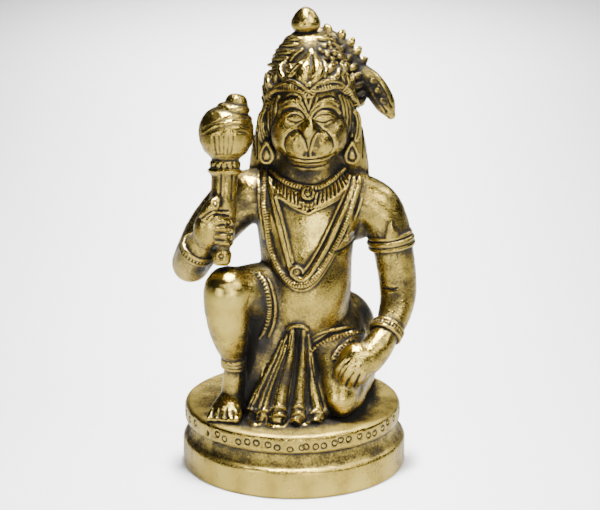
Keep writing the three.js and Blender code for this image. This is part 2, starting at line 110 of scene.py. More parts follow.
FOOT_RADIUS = 27.1
DISC_RADIUS = 26.25
DISC_TOP = 15.5
DISC_OFF_CENTRE = -0.4
PLINTH_STEPS = 160
turned("plinth_foot", [
    (0, 0), (26.5, 0), (26.95, 0.15), (FOOT_RADIUS, 0.6), (FOOT_RADIUS, 6.2), (26.9, 6.8), (26.5, 7.15),
    (26.0, 7.5), (25.5, 8.2), (25.15, 9.2), (25.0, 10.2), (25.0, 13.0), (0, 13.0),
], steps=PLINTH_STEPS)
turned("plinth_disc", [
    (0, 10.9), (25.2, 10.9), (25.9, 11.15), (26.2, 11.7), (DISC_RADIUS, 12.4), (DISC_RADIUS, 14.4),
    (26.0, 15.0), (25.5, 15.4), (24.6, 15.55), (22.0, 15.6), (0, 15.8),
], at=(DISC_OFF_CENTRE, 0, 0), steps=PLINTH_STEPS)

# Trunk and hips: the bare chest and round belly, and the seat wrapped in cloth. Soft wax, its limbs
# drawn out as rolls and pressed together, so the joins are smooth.
FIGURE_PLACE = Vector((0.6, 0, DISC_TOP))
THINNEST = 0.05


def triples(layer, name):
    """The three numbers that each point of a mesh has in a layer, such as its place."""
    values = np.empty(len(layer) * 3)
    layer.foreach_get(name, values)
    return values.reshape(-1, 3)


def curve(stations, steps):
    """A smooth run of stations through the given ones."""
    rows = np.array(stations, float)
    ends = np.vstack([2 * rows[0] - rows[1], rows, 2 * rows[-1] - rows[-2]])
    spans = len(rows) - 1
    share = np.linspace(0, spans, spans * steps + 1)
    first = np.minimum(share.astype(int), spans - 1)
    t = (share - first)[:, None]
    a, b, c, d = (ends[first + i] for i in range(4))
    return 0.5 * (2 * b + (c - a) * t + (2 * a - 5 * b + 4 * c - d) * t ** 2
                  + (3 * b - a - 3 * c + d) * t ** 3)


def drawn(name, stations, reference=(0, 1, 0), segments=28, steps=5, caps=5):
    """A ball of wax drawn out along stations of x, y, z, half width and half depth."""
    line = curve([s if len(s) == 5 else (*s, s[3]) for s in stations], steps)
    along = np.gradient(line[:, :3], axis=0)
    along /= np.linalg.norm(along, axis=1)[:, None]
    side = np.cross(reference, along)
    side /= np.linalg.norm(side, axis=1)[:, None]
    deep = np.cross(along, side)
    size = np.maximum(line[:, 3:5], THINNEST)
    turn = np.linspace(0, math.pi / 2, caps + 1)[:-1]
    rings = []
    for angle in turn:
        reach = np.cos(angle) * size[0].min()
        rings.append((line[0, :3] - along[0] * reach, side[0], deep[0], size[0] * np.sin(angle)))
    for i in range(len(line)):
        rings.append((line[i, :3], side[i], deep[i], size[i]))
    for angle in turn[::-1]:
        reach = np.cos(angle) * size[-1].min()
        rings.append((line[-1, :3] + along[-1] * reach, side[-1], deep[-1], size[-1] * np.sin(angle)))
    centre, across, depth, girth = (np.array([r[i] for r in rings]) for i in range(4))
    bpy.ops.object.select_all(action="DESELECT")
    bpy.ops.mesh.primitive_uv_sphere_add(segments=segments, ring_count=len(rings) - 1, radius=1,
                                         calc_uvs=False)
    made = keep(name)
    unit = triples(made.data.vertices, "co")
    ring = np.rint(np.arccos(np.clip(-unit[:, 2], -1, 1)) / math.pi * (len(rings) - 1)).astype(int)
    around = np.arctan2(unit[:, 1], unit[:, 0])
    moved = (centre[ring] + across[ring] * (girth[ring, 0] * np.cos(around))[:, None]
             + depth[ring] * (girth[ring, 1] * np.sin(around))[:, None])
    made.data.vertices.foreach_set("co", (moved + np.array(FIGURE_PLACE)).ravel())
    bpy.ops.object.mode_set(mode="EDIT")
    bpy.ops.mesh.select_all(action="SELECT")
    bpy.ops.mesh.normals_make_consistent(inside=False)
    bpy.ops.object.mode_set(mode="OBJECT")
    return made


def ball(name, at, radii, lean=(0, 0, 0)):
    """A ball of wax, pressed to three half widths and leaned over by degrees."""
    bpy.ops.object.select_all(action="DESELECT")
    bpy.ops.mesh.primitive_uv_sphere_add(
        segments=28, ring_count=16, radius=1, calc_uvs=False, location=FIGURE_PLACE + Vector(at),
        rotation=[math.radians(a) for a in lean], scale=radii)
    return keep(name)


TRUNK = [
    (17.0, 2.2, 1.0, 9.5, 8.5), (21.5, 2.5, -0.8, 9.6, 9.6), (25.0, 2.6, -2.2, 9.9, 11.0),
    (30.0, 2.6, -2.7, 10.6, 11.5), (36.0, 2.4, -2.0, 10.9, 10.4), (42.0, 2.4, -1.3, 11.6, 9.6),
    (47.0, 2.6, -0.9, 12.6, 9.3), (51.0, 2.8, -0.4, 13.4, 8.4), (54.5, 2.9, 0.2, 11.4, 7.4),
    (58.0, 3.0, 0.4, 8.6, 6.9), (62.0, 3.1, 0.2, 7.4, 6.4),
]
drawn("trunk", [(x, y, z, across, deep) for z, x, y, across, deep in TRUNK], segments=48, steps=6)
ball("armpit", (14.4, 0.6, 46.0), (4.6, 4.4, 5.8))
ball("breast", (8.6, -4.2, 46.4), (6.2, 5.0, 5.4), lean=(20, 0, 0))
ball("other_breast", (-3.0, -4.2, 46.8), (6.0, 5.0, 5.4), lean=(20, 0, 0))
ball("belly", (2.4, -4.6, 27.6), (9.2, 9.4, 7.6))
ball("hip", (9.3, 4.0, 15.6), (10.2, 9.8, 11.0), lean=(0, 14, 0))
ball("other_hip", (-3.0, 4.5, 16.0), (9.0, 8.8, 10.4))
ball("seat", (3.0, 6.6, 7.6), (13.4, 10.8, 10.8))
ball("seat_back", (3.0, 6.0, 11.6), (12.8, 9.6, 9.6))
ball("seat_middle", (3.0, 5.2, 15.4), (11.2, 8.8, 10.4))

# Legs: the right one raised with its foot flat on the disc, the left one kneeling with its shin
# laid back and its sole turned up behind. Soft wax like the trunk, with a small roll for each toe.
drawn("raised_thigh", [(1.0, 0.0, 23.0, 8.0), (-6.5, -5.0, 28.6, 7.4), (-13.4, -10.4, 31.0, 5.8)],
      reference=(0, 0, 1))
drawn("raised_shin", [
    (-16.0, -12.2, 31.4, 6.0), (-16.3, -12.2, 28.0, 5.7), (-16.0, -12.0, 22.0, 4.9),
    (-15.4, -11.2, 17.0, 3.7), (-14.9, -10.6, 13.0, 2.45), (-15.1, -10.3, 8.6, 2.6), (-15.6, -9.6, 2.8, 2.9),
])
drawn("heel_to_ball", [
    (-15.4, -8.6, 2.7, 2.9, 2.7), (-16.2, -11.8, 2.8, 3.5, 2.8), (-17.1, -15.2, 1.7, 4.1, 1.7),
], reference=(0, 0, 1))
for toe in range(5):
    share = toe / 4
    thick = 1.25 - 0.4 * min(1, toe / 2)
    root = Vector((-14.0 - 6.6 * share, -16.0 + 1.2 * share, 0))
    tip = root + Vector((-0.3, -2.0 + 0.6 * share, 0))
    drawn(f"toe_{toe}", [(root.x, root.y, thick + 0.5, thick), (tip.x, tip.y, thick - 0.1, thick * 0.95)],
          reference=(0, 0, 1), segments=14)
drawn("kneeling_thigh", [
    (8.5, 1.0, 18.5, 8.6), (9.4, -4.8, 15.2, 7.3), (10.2, -9.8, 10.2, 5.5), (10.6, -13.2, 5.3, 4.1),
])
ball("lap", (8.6, -6.6, 17.6), (7.6, 5.6, 4.6), lean=(20, 12, 0))
drawn("kneeling_shin", [
    (10.8, -14.0, 3.5, 3.1), (12.4, -9.6, 4.0, 3.9), (13.6, -3.0, 4.3, 4.0), (15.4, 5.0, 4.0, 3.8),
    (17.0, 12.0, 3.4, 2.9),
], reference=(0, 0, 1))
drawn("kneeling_sole", [(17.0, 12.0, 3.4, 2.8), (15.8, 15.6, 3.1, 3.0, 2.6), (14.3, 18.8, 2.2, 3.3, 1.6)],
      reference=(0, 0, 1))
KNEELING_TOE_APART = 1.25
for toe in range(5):
    across = (toe - 2) * KNEELING_TOE_APART
    drawn("kneeling_toe", [(14.0 + across, 18.6 + 0.4 * across, 2.3, 0.95),
                           (13.3 + across, 20.9 + 0.4 * across - 0.15 * toe, 1.6, 0.8)],
          reference=(0, 0, 1), segments=14)

# Cloth: the wrapped skirt between the legs, down to the disc. Its mass is laid in here as soft wax, and
# its pleats and hem are laid on later, when the body is whole.
drawn("cloth_middle", [
    (0.8, -6.4, 21.5, 3.8, 3.4), (-0.6, -8.0, 14.0, 5.2, 4.6), (-2.2, -9.8, 7.0, 7.4, 5.8),
    (-3.0, -11.2, 0.6, 9.0, 6.6),
])
drawn("cloth_right", [(4.4, -5.0, 17.0, 3.6, 3.2), (5.2, -9.2, 9.0, 3.6, 3.4), (5.4, -12.0, 1.6, 4.2, 3.6)])
drawn("cloth_side", [(-5.6, -5.4, 22.0, 6.6, 5.4), (-7.0, -5.6, 12.0, 6.4, 5.2), (-8.2, -6.6, 2.0, 6.6, 5.4)])
drawn("cloth_foot", [(-12.6, -9.6, 1.4, 1.6), (-8.6, -13.4, 1.3, 2.1), (-3.4, -15.6, 1.2, 2.5),
                     (2.0, -15.8, 1.2, 2.4), (6.4, -13.8, 1.2, 1.8)], reference=(0, 0, 1))

# Arms: the left one hangs to the knee, and the right one is bent up to hold the mace. Each is a roll of
# soft wax drawn thinner to the wrist, with a flattened ball for the back of the hand.
drawn("resting_arm", [
    (13.8, 0.2, 50.8, 6.4), (18.8, -0.6, 48.8, 5.9), (21.4, -1.2, 44.8, 5.4), (22.8, -1.5, 40.0, 4.9),
    (23.8, -1.8, 34.6, 4.7), (24.4, -2.2, 29.0, 4.5), (24.1, -3.6, 25.4, 4.2), (23.0, -6.2, 22.2, 3.8),
    (21.5, -8.6, 19.9, 3.3), (19.4, -11.2, 17.2, 3.7), (17.0, -12.8, 14.8, 4.0),
])
ball("back_of_hand", (13.9, -13.8, 13.6), (4.8, 4.2, 5.6), lean=(0, 24, 0))
drawn("raised_upper_arm", [
    (-8.0, 0.6, 51.0, 6.4), (-13.4, 0.0, 50.4, 6.5), (-20.0, -1.6, 43.8, 5.9), (-24.0, -2.4, 37.6, 5.0),
    (-25.2, -3.4, 35.4, 4.6),
])
drawn("raised_forearm", [
    (-25.2, -3.8, 35.8, 4.6), (-24.3, -7.0, 38.4, 4.0), (-22.0, -10.4, 42.6, 3.5), (-20.3, -12.4, 46.4, 3.3),
    (-19.3, -13.2, 50.0, 2.8), (-19.0, -13.4, 53.2, 1.8),
])
ball("raised_back_of_hand", (-20.6, -14.2, 47.4), (3.5, 3.0, 5.0), lean=(0, 10, 0))

# Head: jaw to brow in one egg, with full cheeks and two round muzzle lobes under a short nose, and
# the long hair that falls behind the ears to the shoulders.
HEAD_MIDDLE = 3.0
FACE = [
    (62.0, -3.8, 4.6, 4.4), (63.6, -3.2, 6.6, 6.4), (66.0, -2.6, 7.7, 7.4), (69.4, -2.1, 8.3, 7.7),
    (74.0, -1.8, 8.4, 7.8), (78.5, -1.0, 8.1, 7.8),
]
drawn("skull", [(HEAD_MIDDLE, y, z, across, deep) for z, y, across, deep in FACE], segments=48)
HAIR = [(74.0, 2.4, 10.8, 6.6), (68.0, 2.8, 12.4, 6.8), (62.0, 3.0, 13.8, 6.8), (57.0, 3.4, 14.2, 4.8)]
drawn("hair", [(HEAD_MIDDLE, y, z, across, deep) for z, y, across, deep in HAIR], caps=2)


def outward(x, side, places):
    """Places on one side of the head, their first numbers counted outward from x."""
    return [(x + side * out, *rest) for out, *rest in places]


for side in (1, -1):
    x = HEAD_MIDDLE + side * 2.9
    ball("muzzle_lobe", (x, -7.9, 66.6), (3.35, 3.0, 4.1), lean=(0, -side * 8, 0))
    ball("cheek", (HEAD_MIDDLE + side * 5.0, -5.0, 67.6), (4.0, 4.7, 5.2))
    ball("eyeball", (HEAD_MIDDLE + side * 3.75, -7.3, 72.4), (2.4, 2.0, 1.5))
    drawn("brow", outward(HEAD_MIDDLE, side, [
        (0.9, -8.8, 74.9, 0.9), (3.6, -8.4, 76.4, 1.0), (6.4, -6.6, 75.2, 0.9)]))
drawn("nose_bridge", [(HEAD_MIDDLE, -8.7, 75.2, 0.9), (HEAD_MIDDLE, -9.5, 72.4, 1.0),
                      (HEAD_MIDDLE, -10.2, 70.4, 1.5)], reference=(1, 0, 0))
ball("nose_tip", (HEAD_MIDDLE, -10.3, 69.5), (2.0, 1.35, 1.3))
drawn("upper_lip", [(HEAD_MIDDLE, -10.4, 69.0, 1.6, 1.0), (HEAD_MIDDLE, -10.5, 66.8, 1.0, 0.8),
                    (HEAD_MIDDLE, -10.2, 64.2, 0.45, 0.6)])
ball("mouth", (HEAD_MIDDLE, -6.6, 62.8), (5.2, 3.6, 1.5))
ball("chin", (HEAD_MIDDLE, -4.8, 61.6), (5.2, 3.6, 1.5))

# Pressing: the soft masses are pressed into one before anything crisp is laid on them, and the joins
# between them are smoothed, as a modeller does with a warm tool. The plinth isn't touched.
PRESSED_GRAIN = 0.36
PRESSED_ROUNDS = 20


def make_one(name, parts, grain, rounds):
    """Joins parts into one closed skin of even grain and smooths it in so many rounds."""
    bpy.ops.object.select_all(action="DESELECT")
    for part in parts:
        part.select_set(True)
    bpy.context.view_layer.objects.active = parts[0]
    bpy.ops.object.join()
    made = bpy.context.object
    made.name = name
    made.data.remesh_voxel_size = grain
    bpy.ops.object.voxel_remesh()
    bpy.ops.object.modifier_add(type="SMOOTH")
    made.modifiers["Smooth"].factor = 0.5
    made.modifiers["Smooth"].iterations = rounds
    bpy.ops.object.modifier_apply(modifier="Smooth")
    return made


plinth, soft_wax = wax[:2], wax[2:]
wax = [*plinth, make_one("figure_wax", soft_wax, PRESSED_GRAIN, PRESSED_ROUNDS)]

# Crown: a stepped dome of wax laid on the head, with rows of flame-shaped locks, a beaded band over the
# brows, leaves and scrolls, and an onion-shaped bud on top. What is on the front is laid out in a drawing
# as the camera sees it, in squares of 0.24 mm from its upper left corner.
DRAWING_MIDDLE = (300, 255)
DRAWING_SQUARE = 0.24
LENS_SQUARES = 2500  # a sight line leans by one square in this many
EYE_MM = eye * 1000
SMALL = {"segments": 12, "steps": 4, "caps": 3}


def skin_of(parts):
    """The surface of all the parts together, to find places on it."""
    points, faces = [], []
    for part in parts:
        first = len(points)
        points += [part.matrix_world @ v.co for v in part.data.vertices]
        faces += [[first + i for i in p.vertices] for p in part.data.polygons]
    return BVHTree.FromPolygons(points, faces)


def sight(across, down):
    """The way from the eye to a place in the front drawing."""
    away = Vector((0, math.cos(CAMERA_FALL), -math.sin(CAMERA_FALL)))
    up = Vector((0, math.sin(CAMERA_FALL), math.cos(CAMERA_FALL)))
    ray = away + Vector((across - DRAWING_MIDDLE[0], 0, 0)) / LENS_SQUARES
    return ray - up * (down - DRAWING_MIDDLE[1]) / LENS_SQUARES


def on_front(across, down):
    """The point of the figure, and the way its surface faces, at a place in the front drawing."""
    ray = sight(across, down).normalized()
    point, facing, _, _ = skin.ray_cast(EYE_MM, ray)
    if point is None:  # beside the figure, so the nearest place on its edge
        point, facing, _, _ = skin.find_nearest((eye + ray * CAMERA_REACH) * 1000)
    return point, facing


def even(places, *size, drop=0.0):
    """Places of a cord or band that is of one size all along, moved down the drawing by a drop."""
    return [(across, down + drop, *size) for across, down in places]


def laid(name, places, lift=0.0, **options):
    """A cord or leaf of wax laid on the front: places are across, down, half width and half thickness."""
    stations, facings = [], []
    for across, down, wide, *thick in places:
        point, facing = on_front(across, down)
        facings.append(facing)
        stations.append((*(point - FIGURE_PLACE), wide, thick[0] if thick else wide))
    facing = sum(facings, Vector()).normalized()
    line = [(*(Vector(s[:3]) + lift * f), *s[3:]) for s, f in zip(stations, facings)]
    return drawn(name, line, reference=facing, **{**SMALL, **options})


CROWN_MIDDLE = (3.0, 1.3)
CROWN_DEPTH = 0.88
CROWN = [
    (0, 69.0), (9.2, 69.6), (9.9, 72.4), (10.2, 75.0), (10.1, 77.6), (9.6, 79.8), (9.0, 81.6), (8.2, 83.2),
    (7.2, 85.2), (6.0, 87.0), (5.0, 88.3), (3.9, 89.6), (2.6, 90.5), (0, 90.9),
]
crown_at = FIGURE_PLACE + Vector((*CROWN_MIDDLE, 0))
turned("crown_dome", CROWN, at=crown_at, steps=96, flatten=CROWN_DEPTH)
turned("crown_bud", [
    (0, 89.4), (3.5, 89.6), (3.6, 90.0), (3.0, 90.4), (2.6, 90.7), (2.9, 91.1), (3.35, 91.7), (3.55, 92.4),
    (3.4, 93.3), (2.9, 94.3), (2.2, 95.3), (1.3, 96.1), (0.6, 96.45), (0, 96.5),
], at=FIGURE_PLACE + Vector((2.2, 2.4, 0)))


def on_crown(angle, height, proud=0.0):
    """A place on the dome, by the angle from the front and the height, or standing proud of it."""
    radius = np.interp(height, [h for _, h in CROWN[1:-1]], [r for r, _ in CROWN[1:-1]]) + proud
    return (CROWN_MIDDLE[0] + radius * math.sin(angle),
            CROWN_MIDDLE[1] - radius * CROWN_DEPTH * math.cos(angle), height)


# Upper rows of locks sweep round the dome and flick out at their tips, and lower ones stand up like flames.
for row, height in enumerate((89.2, 87.9, 86.5, 85.0, 83.3)):
    for side in (1, -1):
        for i in range(5 if row else 4):
            angle = 0.55 + 0.5 * i + 0.2 * (row % 2) - 0.08 * row
            drawn("swept_lock", [
                (*on_crown(side * angle, height + 0.5, -0.3), 0.5, 0.45),
                (*on_crown(side * (angle + 0.3), height + 0.35, 0.1), 0.65, 0.6),
                (*on_crown(side * (angle + 0.6), height, 0.45), 0.7, 0.7),
                (*on_crown(side * (angle + 0.85), height - 0.5, 1.2), 0.42, 0.42),
            ], reference=(0, 0, 1), **SMALL)
for row, (height, count, gap) in enumerate([(73.6, 18, 1.15), (76.2, 20, 1.1), (78.8, 20, 1.05)]):
    for i in range(count):
        angle = math.pi * (2 * (i + 0.5 * (row % 2)) / count - 1)
        if abs(angle) < gap:
            continue
        lean = 0.12 if angle > 0 else -0.12
        drawn("flame_lock", [
            (*on_crown(angle - lean, height - 1.3, 0.0), 1.1, 0.7),
            (*on_crown(angle, height + 0.1, 0.3), 1.15, 0.75),
            (*on_crown(angle + lean, height + 1.6, 0.75), 0.45, 0.45),
        ], reference=(math.sin(angle), -math.cos(angle), 0.01), **SMALL)
skin = skin_of(wax)
laid("diadem", [(273, 88, 1.4, 0.7), (277, 81, 2.2, 0.8), (285, 77, 2.8, 1.0), (297, 76, 3.2, 1.0),
                (310, 79, 3.0, 1.0), (323, 77, 3.2, 1.0), (334, 77, 2.8, 1.0), (342, 81, 2.2, 0.8),
                (346, 88, 1.4, 0.7)], segments=28)
skin = skin_of(wax)
laid("front_leaf", [(308.5, 91, 0.8, 0.7), (308, 84, 2.6, 1.0), (309.5, 76, 3.3, 1.2), (311, 67, 3.0, 1.2),
                    (311.5, 58, 1.9, 1.0), (311, 50, 0.5, 0.5)], lift=0.1, segments=28)
skin = skin_of(wax)
laid("leaf_left_half", [(307, 89, 0.6, 0.5), (303.5, 83, 1.3, 0.8), (303, 75.5, 1.6, 0.9),
                        (306, 66, 1.3, 0.8), (309.5, 56, 0.4, 0.4)], lift=0.1, segments=24)
laid("leaf_right_half", [(310.5, 88, 0.5, 0.5), (314.5, 80, 1.1, 0.7), (317.5, 72, 1.5, 0.85),
                         (317, 64, 1.2, 0.8), (313, 55, 0.4, 0.4)], lift=0.1, segments=24)
for name, places in {
    "left_scroll": [(291, 79, 0.45), (285.5, 78, 0.65), (281.5, 73, 0.75), (282, 66.5, 0.7),
                    (286.5, 62, 0.5)],
    "left_leaf": [(286.5, 73, 0.5), (291, 75.5, 0.85), (295.5, 71.5, 0.95), (300, 66, 0.8), (304, 61, 0.4)],
    "left_leaf_branch": [(290.5, 65, 0.4), (292, 69, 0.65), (293, 73, 0.5)],
    "left_ribbon": [(284, 80, 0.5), (291, 82, 0.8), (298, 85.5, 0.85), (304.5, 90.5, 0.6)],
    "left_crest": [(291, 60, 0.4), (296, 54, 0.6), (303, 49.5, 0.4)],
    "right_ribbon": [(312.5, 90.5, 0.6), (318.5, 86, 0.8), (326, 82.8, 0.75), (334, 81.5, 0.5)],
    "right_stem": [(321.5, 59, 0.4), (324.5, 65, 0.6), (325.5, 71.5, 0.65), (323.5, 77, 0.4)],
    "right_petal": [(328.5, 72, 0.5), (330.5, 67.5, 0.95), (333.5, 63.5, 0.6)],
    "right_scroll": [(338, 69.5, 0.5), (336.5, 75.5, 0.8), (331.5, 79, 0.85), (326, 79.5, 0.5)],
    "outer_left_leaf": [(273, 87, 0.5), (268.5, 82, 0.7), (268.5, 76, 0.8), (272, 72, 0.7), (275.5, 74, 0.4)],
    "outer_left_fold": [(277, 84, 0.4), (276.5, 77, 0.6), (278, 70, 0.45)],
    "outer_right_leaf": [(347, 89, 0.45), (347.5, 81, 0.75), (345, 73, 0.7), (341, 66, 0.4)],
    "outer_right_fold": [(343, 84, 0.4), (342.5, 77, 0.6), (340, 71, 0.45)],
}.items():
    laid(name, places, lift=0.2)


def bead(name, across, down, radius, lift=0.3):
    """A round bead of wax set on the front."""
    point, facing = on_front(across, down)
    return ball(name, point - FIGURE_PLACE + facing * lift, (radius, radius, radius))


for across, down, radius in [
        (324, 46, 0.7), (330, 49, 0.75), (327, 54, 0.7), (334, 53, 0.75), (332, 59, 0.7), (339, 57, 0.7),
        (341, 63, 0.7), (336, 64, 0.6), (329, 44, 0.6), (345, 67, 0.7), (343, 72, 0.6), (320, 50, 0.55),
        (337, 47, 0.6), (344, 53, 0.6)]:
    bead("crown_bead", across, down, radius, 0.1)
skin = skin_of(wax)
bead("front_leaf_bead", 309.5, 84.5, 0.75)
ARCH = [(267.5, 108), (268.6, 101), (271.5, 95.4), (276, 90.4), (284.5, 87), (292.5, 86.6), (300.5, 89),
        (308.5, 95), (315.6, 89), (322.7, 86.4), (331.7, 85.6), (340, 87), (346.5, 91), (352, 97.6),
        (355.5, 106)]
ARCH_CORD_DROP = 0.6
laid("arch_band", even(ARCH, 1.1, 0.6, drop=-1.2), lift=0.15, segments=16)
laid("arch_upper_cord", even(ARCH[2:-2], 0.4, drop=-4.4), lift=0.35)
laid("arch_cord", even(ARCH, 0.55, drop=ARCH_CORD_DROP), lift=0.75)

# Ears: with their heavy drops, and the temple hair between the ear and the crown's band. All are small
# rolls of wax, laid on alike on both sides of the head.
for side in (1, -1):
    x = HEAD_MIDDLE + side * 10.4
    ball("ear", (x, -0.8, 68.6), (1.8, 1.5, 4.2), lean=(0, side * 4, 0))
    drawn("ear_rim", outward(x, side, [
        (-1.0, -1.8, 64.8, 0.55), (0.5, -2.2, 65.6, 0.65), (1.3, -2.3, 68.4, 0.7), (0.9, -2.3, 71.6, 0.7),
        (-0.7, -2.3, 72.6, 0.6), (-1.4, -2.2, 70.6, 0.55), (-1.0, -2.2, 68.6, 0.5)]))
    drawn("ear_fold", outward(x, side, [
        (-0.2, -2.1, 71.2, 0.4), (0.2, -2.3, 68.8, 0.5), (-0.4, -2.2, 66.4, 0.4)]))
    x = HEAD_MIDDLE + side * 10.1
    drawn("ear_drop", [(x, -2.3, 64.4, 0.5), (x, -2.6, 62.8, 1.0, 0.9), (x, -2.6, 61.6, 1.0, 1.0),
                       (x, -2.4, 60.8, 0.5)])
    drawn("ear_drop_rim", outward(x, side, [
        (0, -3.2, 65.2, 0.42), (-1.1, -3.4, 63.4, 0.42), (-1.5, -3.2, 61.6, 0.42), (-0.7, -3.0, 60.3, 0.42),
        (0.7, -3.0, 60.3, 0.42), (1.5, -3.2, 61.6, 0.42), (1.1, -3.4, 63.4, 0.42), (0, -3.2, 65.2, 0.42)]))
    for strand in range(4):
        out = 7.0 + 0.75 * strand
        drawn("temple_strand", outward(HEAD_MIDDLE, side, [
            (out, -5.8 + 0.9 * strand, 77.0 - 0.5 * strand, 0.5),
            (out + 0.8, -4.9 + 0.9 * strand, 73.4, 0.55), (out + 0.9, -4.2 + 0.8 * strand, 69.6, 0.5),
            (out + 0.3, -3.6 + 0.8 * strand, 66.4, 0.35)]))

# Hair behind: long locks from under the crown to the shoulders, rolls of wax with turned-out ends.
# The outermost ones lie deeper, so that they don't widen the head.
LOCKS = [lock for lock in range(-5, 6) if lock]
LOCK_TURN = 0.29


def lock_turn(lock, height):
    """How far round the head from the middle of the back a lock is, in its slow wave."""
    return LOCK_TURN * lock + 0.035 * math.sin(height * 0.7 + lock)


for lock in LOCKS:
    stations = []
    for height, wide, proud in ((76.0, 0.9, -0.5), (72.0, 1.35, -0.1), (67.0, 1.5, 0.0), (62.0, 1.5, -0.1),
                                (58.0, 1.3, 0.1), (55.6, 0.6, 0.7)):
        around = lock_turn(lock, height)
        middle, across, deep = (
            np.interp(height, [h[0] for h in HAIR[::-1]], [h[k] for h in HAIR[::-1]]) for k in (1, 2, 3))
        proud -= 0.35 * max(0, abs(lock) - 3)
        stations.append((HEAD_MIDDLE + (across + proud) * math.sin(around),
                         middle + (deep + proud) * math.cos(around), height, wide, 0.6 * wide))
    drawn("hair_lock", stations, reference=(math.sin(LOCK_TURN * lock), math.cos(LOCK_TURN * lock), 0.01),
          segments=16)

# Tail: a rope of hair up the back and over the crown, curled along its outer edge, ending on the
# right in a smooth tuft. Long rolls of wax, with a small pinched one for each curl.


def roll(name, points, radius, **options):
    """A rolled wax cord of even radius."""
    return drawn(name, [(*p, radius) for p in points], **{**SMALL, **options})


TAIL = [(4.0, 12.8, 10.0), (4.5, 11.2, 24.0), (4.5, 9.8, 40.0), (4.5, 9.6, 54.0), (4.5, 10.8, 66.0),
        (4.5, 11.2, 78.0), (4.6, 8.4, 88.4)]
TAIL_ARCH = [(4.6, 7.8, 88.8), (7.5, 7.4, 88.3), (10.1, 6.8, 86.9), (12.2, 6.2, 84.8), (13.6, 5.8, 82.5),
             (14.7, 5.5, 80.2), (15.6, 5.3, 77.8)]
roll("tail_up_the_back", TAIL, 2.2, reference=(1, 0, 0), segments=20)
roll("tail_arch", TAIL_ARCH, 1.9, segments=20)
drawn("tail_root", [(3.9, 13.6, 9.0, 2.4), (4.1, 13.4, 13.0, 2.9), (4.4, 12.0, 18.0, 2.5)],
      reference=(1, 0, 0), segments=24)
drawn("tail_web", [(11.5, 5.2, 84.6, 1.6, 1.1), (13.1, 4.6, 82.1, 1.9, 1.0), (14.3, 4.4, 78.8, 2.0, 1.0),
                   (15.0, 4.2, 75.4, 1.9, 1.0), (14.8, 4.0, 73.0, 1.4, 0.9)])
drawn("tail_tuft", [(15.8, 5.3, 80.0, 2.1), (17.5, 5.0, 78.2, 2.6), (19.5, 4.7, 75.3, 2.8),
                    (21.3, 4.4, 72.2, 2.4), (22.4, 4.1, 70.1, 1.2)], segments=24)
for across, down, size, depth, spread in [
        (327, 27, 1.2, 7.4, (2, 8)), (342.5, 33, 1.2, 6.8, (-3, 8)), (351.8, 41, 1.15, 6.2, (-6, 8)),
        (358.6, 50, 1.15, 5.8, (-7, 7)), (364.6, 60, 1.1, 5.6, (-8, 5)), (367.5, 70, 1.05, 5.4, (-8, 4)),
        (369, 79, 0.95, 5.2, (-8, 3)), (368.5, 87, 0.9, 5.0, (-8, 2)), (334, 40, 0.85, 4.8, (-3, 5)),
        (343, 48, 0.85, 4.2, (-5, 5)), (350, 57, 0.85, 3.6, (-5, 4)), (355, 66, 0.85, 3.2, (-6, 4)),
        (359, 75, 0.85, 3.0, (-6, 3)), (361, 84, 0.8, 2.8, (-6, 3)), (363, 93, 0.8, 2.8, (-6, 2)),
        (363, 101, 0.75, 2.8, (-6, 2)), (375, 82, 0.7, 2.4, (-5, -3)), (380, 92, 0.7, 2.2, (-5, -3)),
        (385, 102, 0.65, 2.0, (-5, -3))]:
    petal = []
    for part, wide in ((0.8, 0.75), (0.4, 1.0), (0.0, 0.95), (-0.3, 0.5)):
        ray = sight(across + spread[0] * part, down + spread[1] * part)
        place = EYE_MM + ray * (depth - part * 1.2 - eye.y * 1000) / ray.y - FIGURE_PLACE
        petal.append((*place, size * wide, size * wide * 0.65))
    drawn("tail_curl", petal, reference=(0.2, -1, 0.1), **{**SMALL, "steps": 3})

# Mace: pommel, handle, collar and round head turned in one, with a stepped cap that leans over. It is
# turned in wax by itself and then pressed into the fist.
MACE_FOOT = FIGURE_PLACE + Vector((-17.6, -13.6, 38.4))
MACE_LEAN = (-10.5, 2.3, 0)
turned("mace", [
    (0, -0.4), (1.6, -0.2), (2.2, 0.6), (2.35, 2.6), (1.9, 3.4), (1.9, 4.0), (2.6, 4.8), (2.9, 8.0),
    (3.1, 12.0), (3.1, 20.6), (3.3, 21.0), (4.0, 21.6), (4.05, 22.2), (3.4, 22.8), (3.7, 23.4), (3.6, 24.1),
    (3.1, 24.6), (3.6, 25.2), (5.0, 26.4), (6.1, 28.4), (6.55, 30.6), (6.35, 32.8), (5.7, 34.4), (4.6, 35.8),
    (3.0, 36.8), (0, 37.2),
], at=MACE_FOOT, lean=MACE_LEAN, steps=72)
turned("mace_cap_step", [
    (0, -1.4), (4.6, -1.2), (4.7, -0.4), (4.2, 0.2), (3.5, 0.5), (3.9, 1.0), (4.0, 1.7), (3.5, 2.5),
    (2.6, 2.9), (0, 3.0),
], at=FIGURE_PLACE + Vector((-14.9, -7.4, 72.8)), lean=(-6, 5, 0))
turned("mace_cap_knob", [(0, -0.8), (2.5, -0.7), (2.75, -0.1), (2.6, 0.7), (2.2, 1.5), (1.6, 2.0), (0.8, 2.2),
                         (0, 2.2)], at=FIGURE_PLACE + Vector((-14.0, -7.1, 75.6)), lean=(-6, 8, 0))

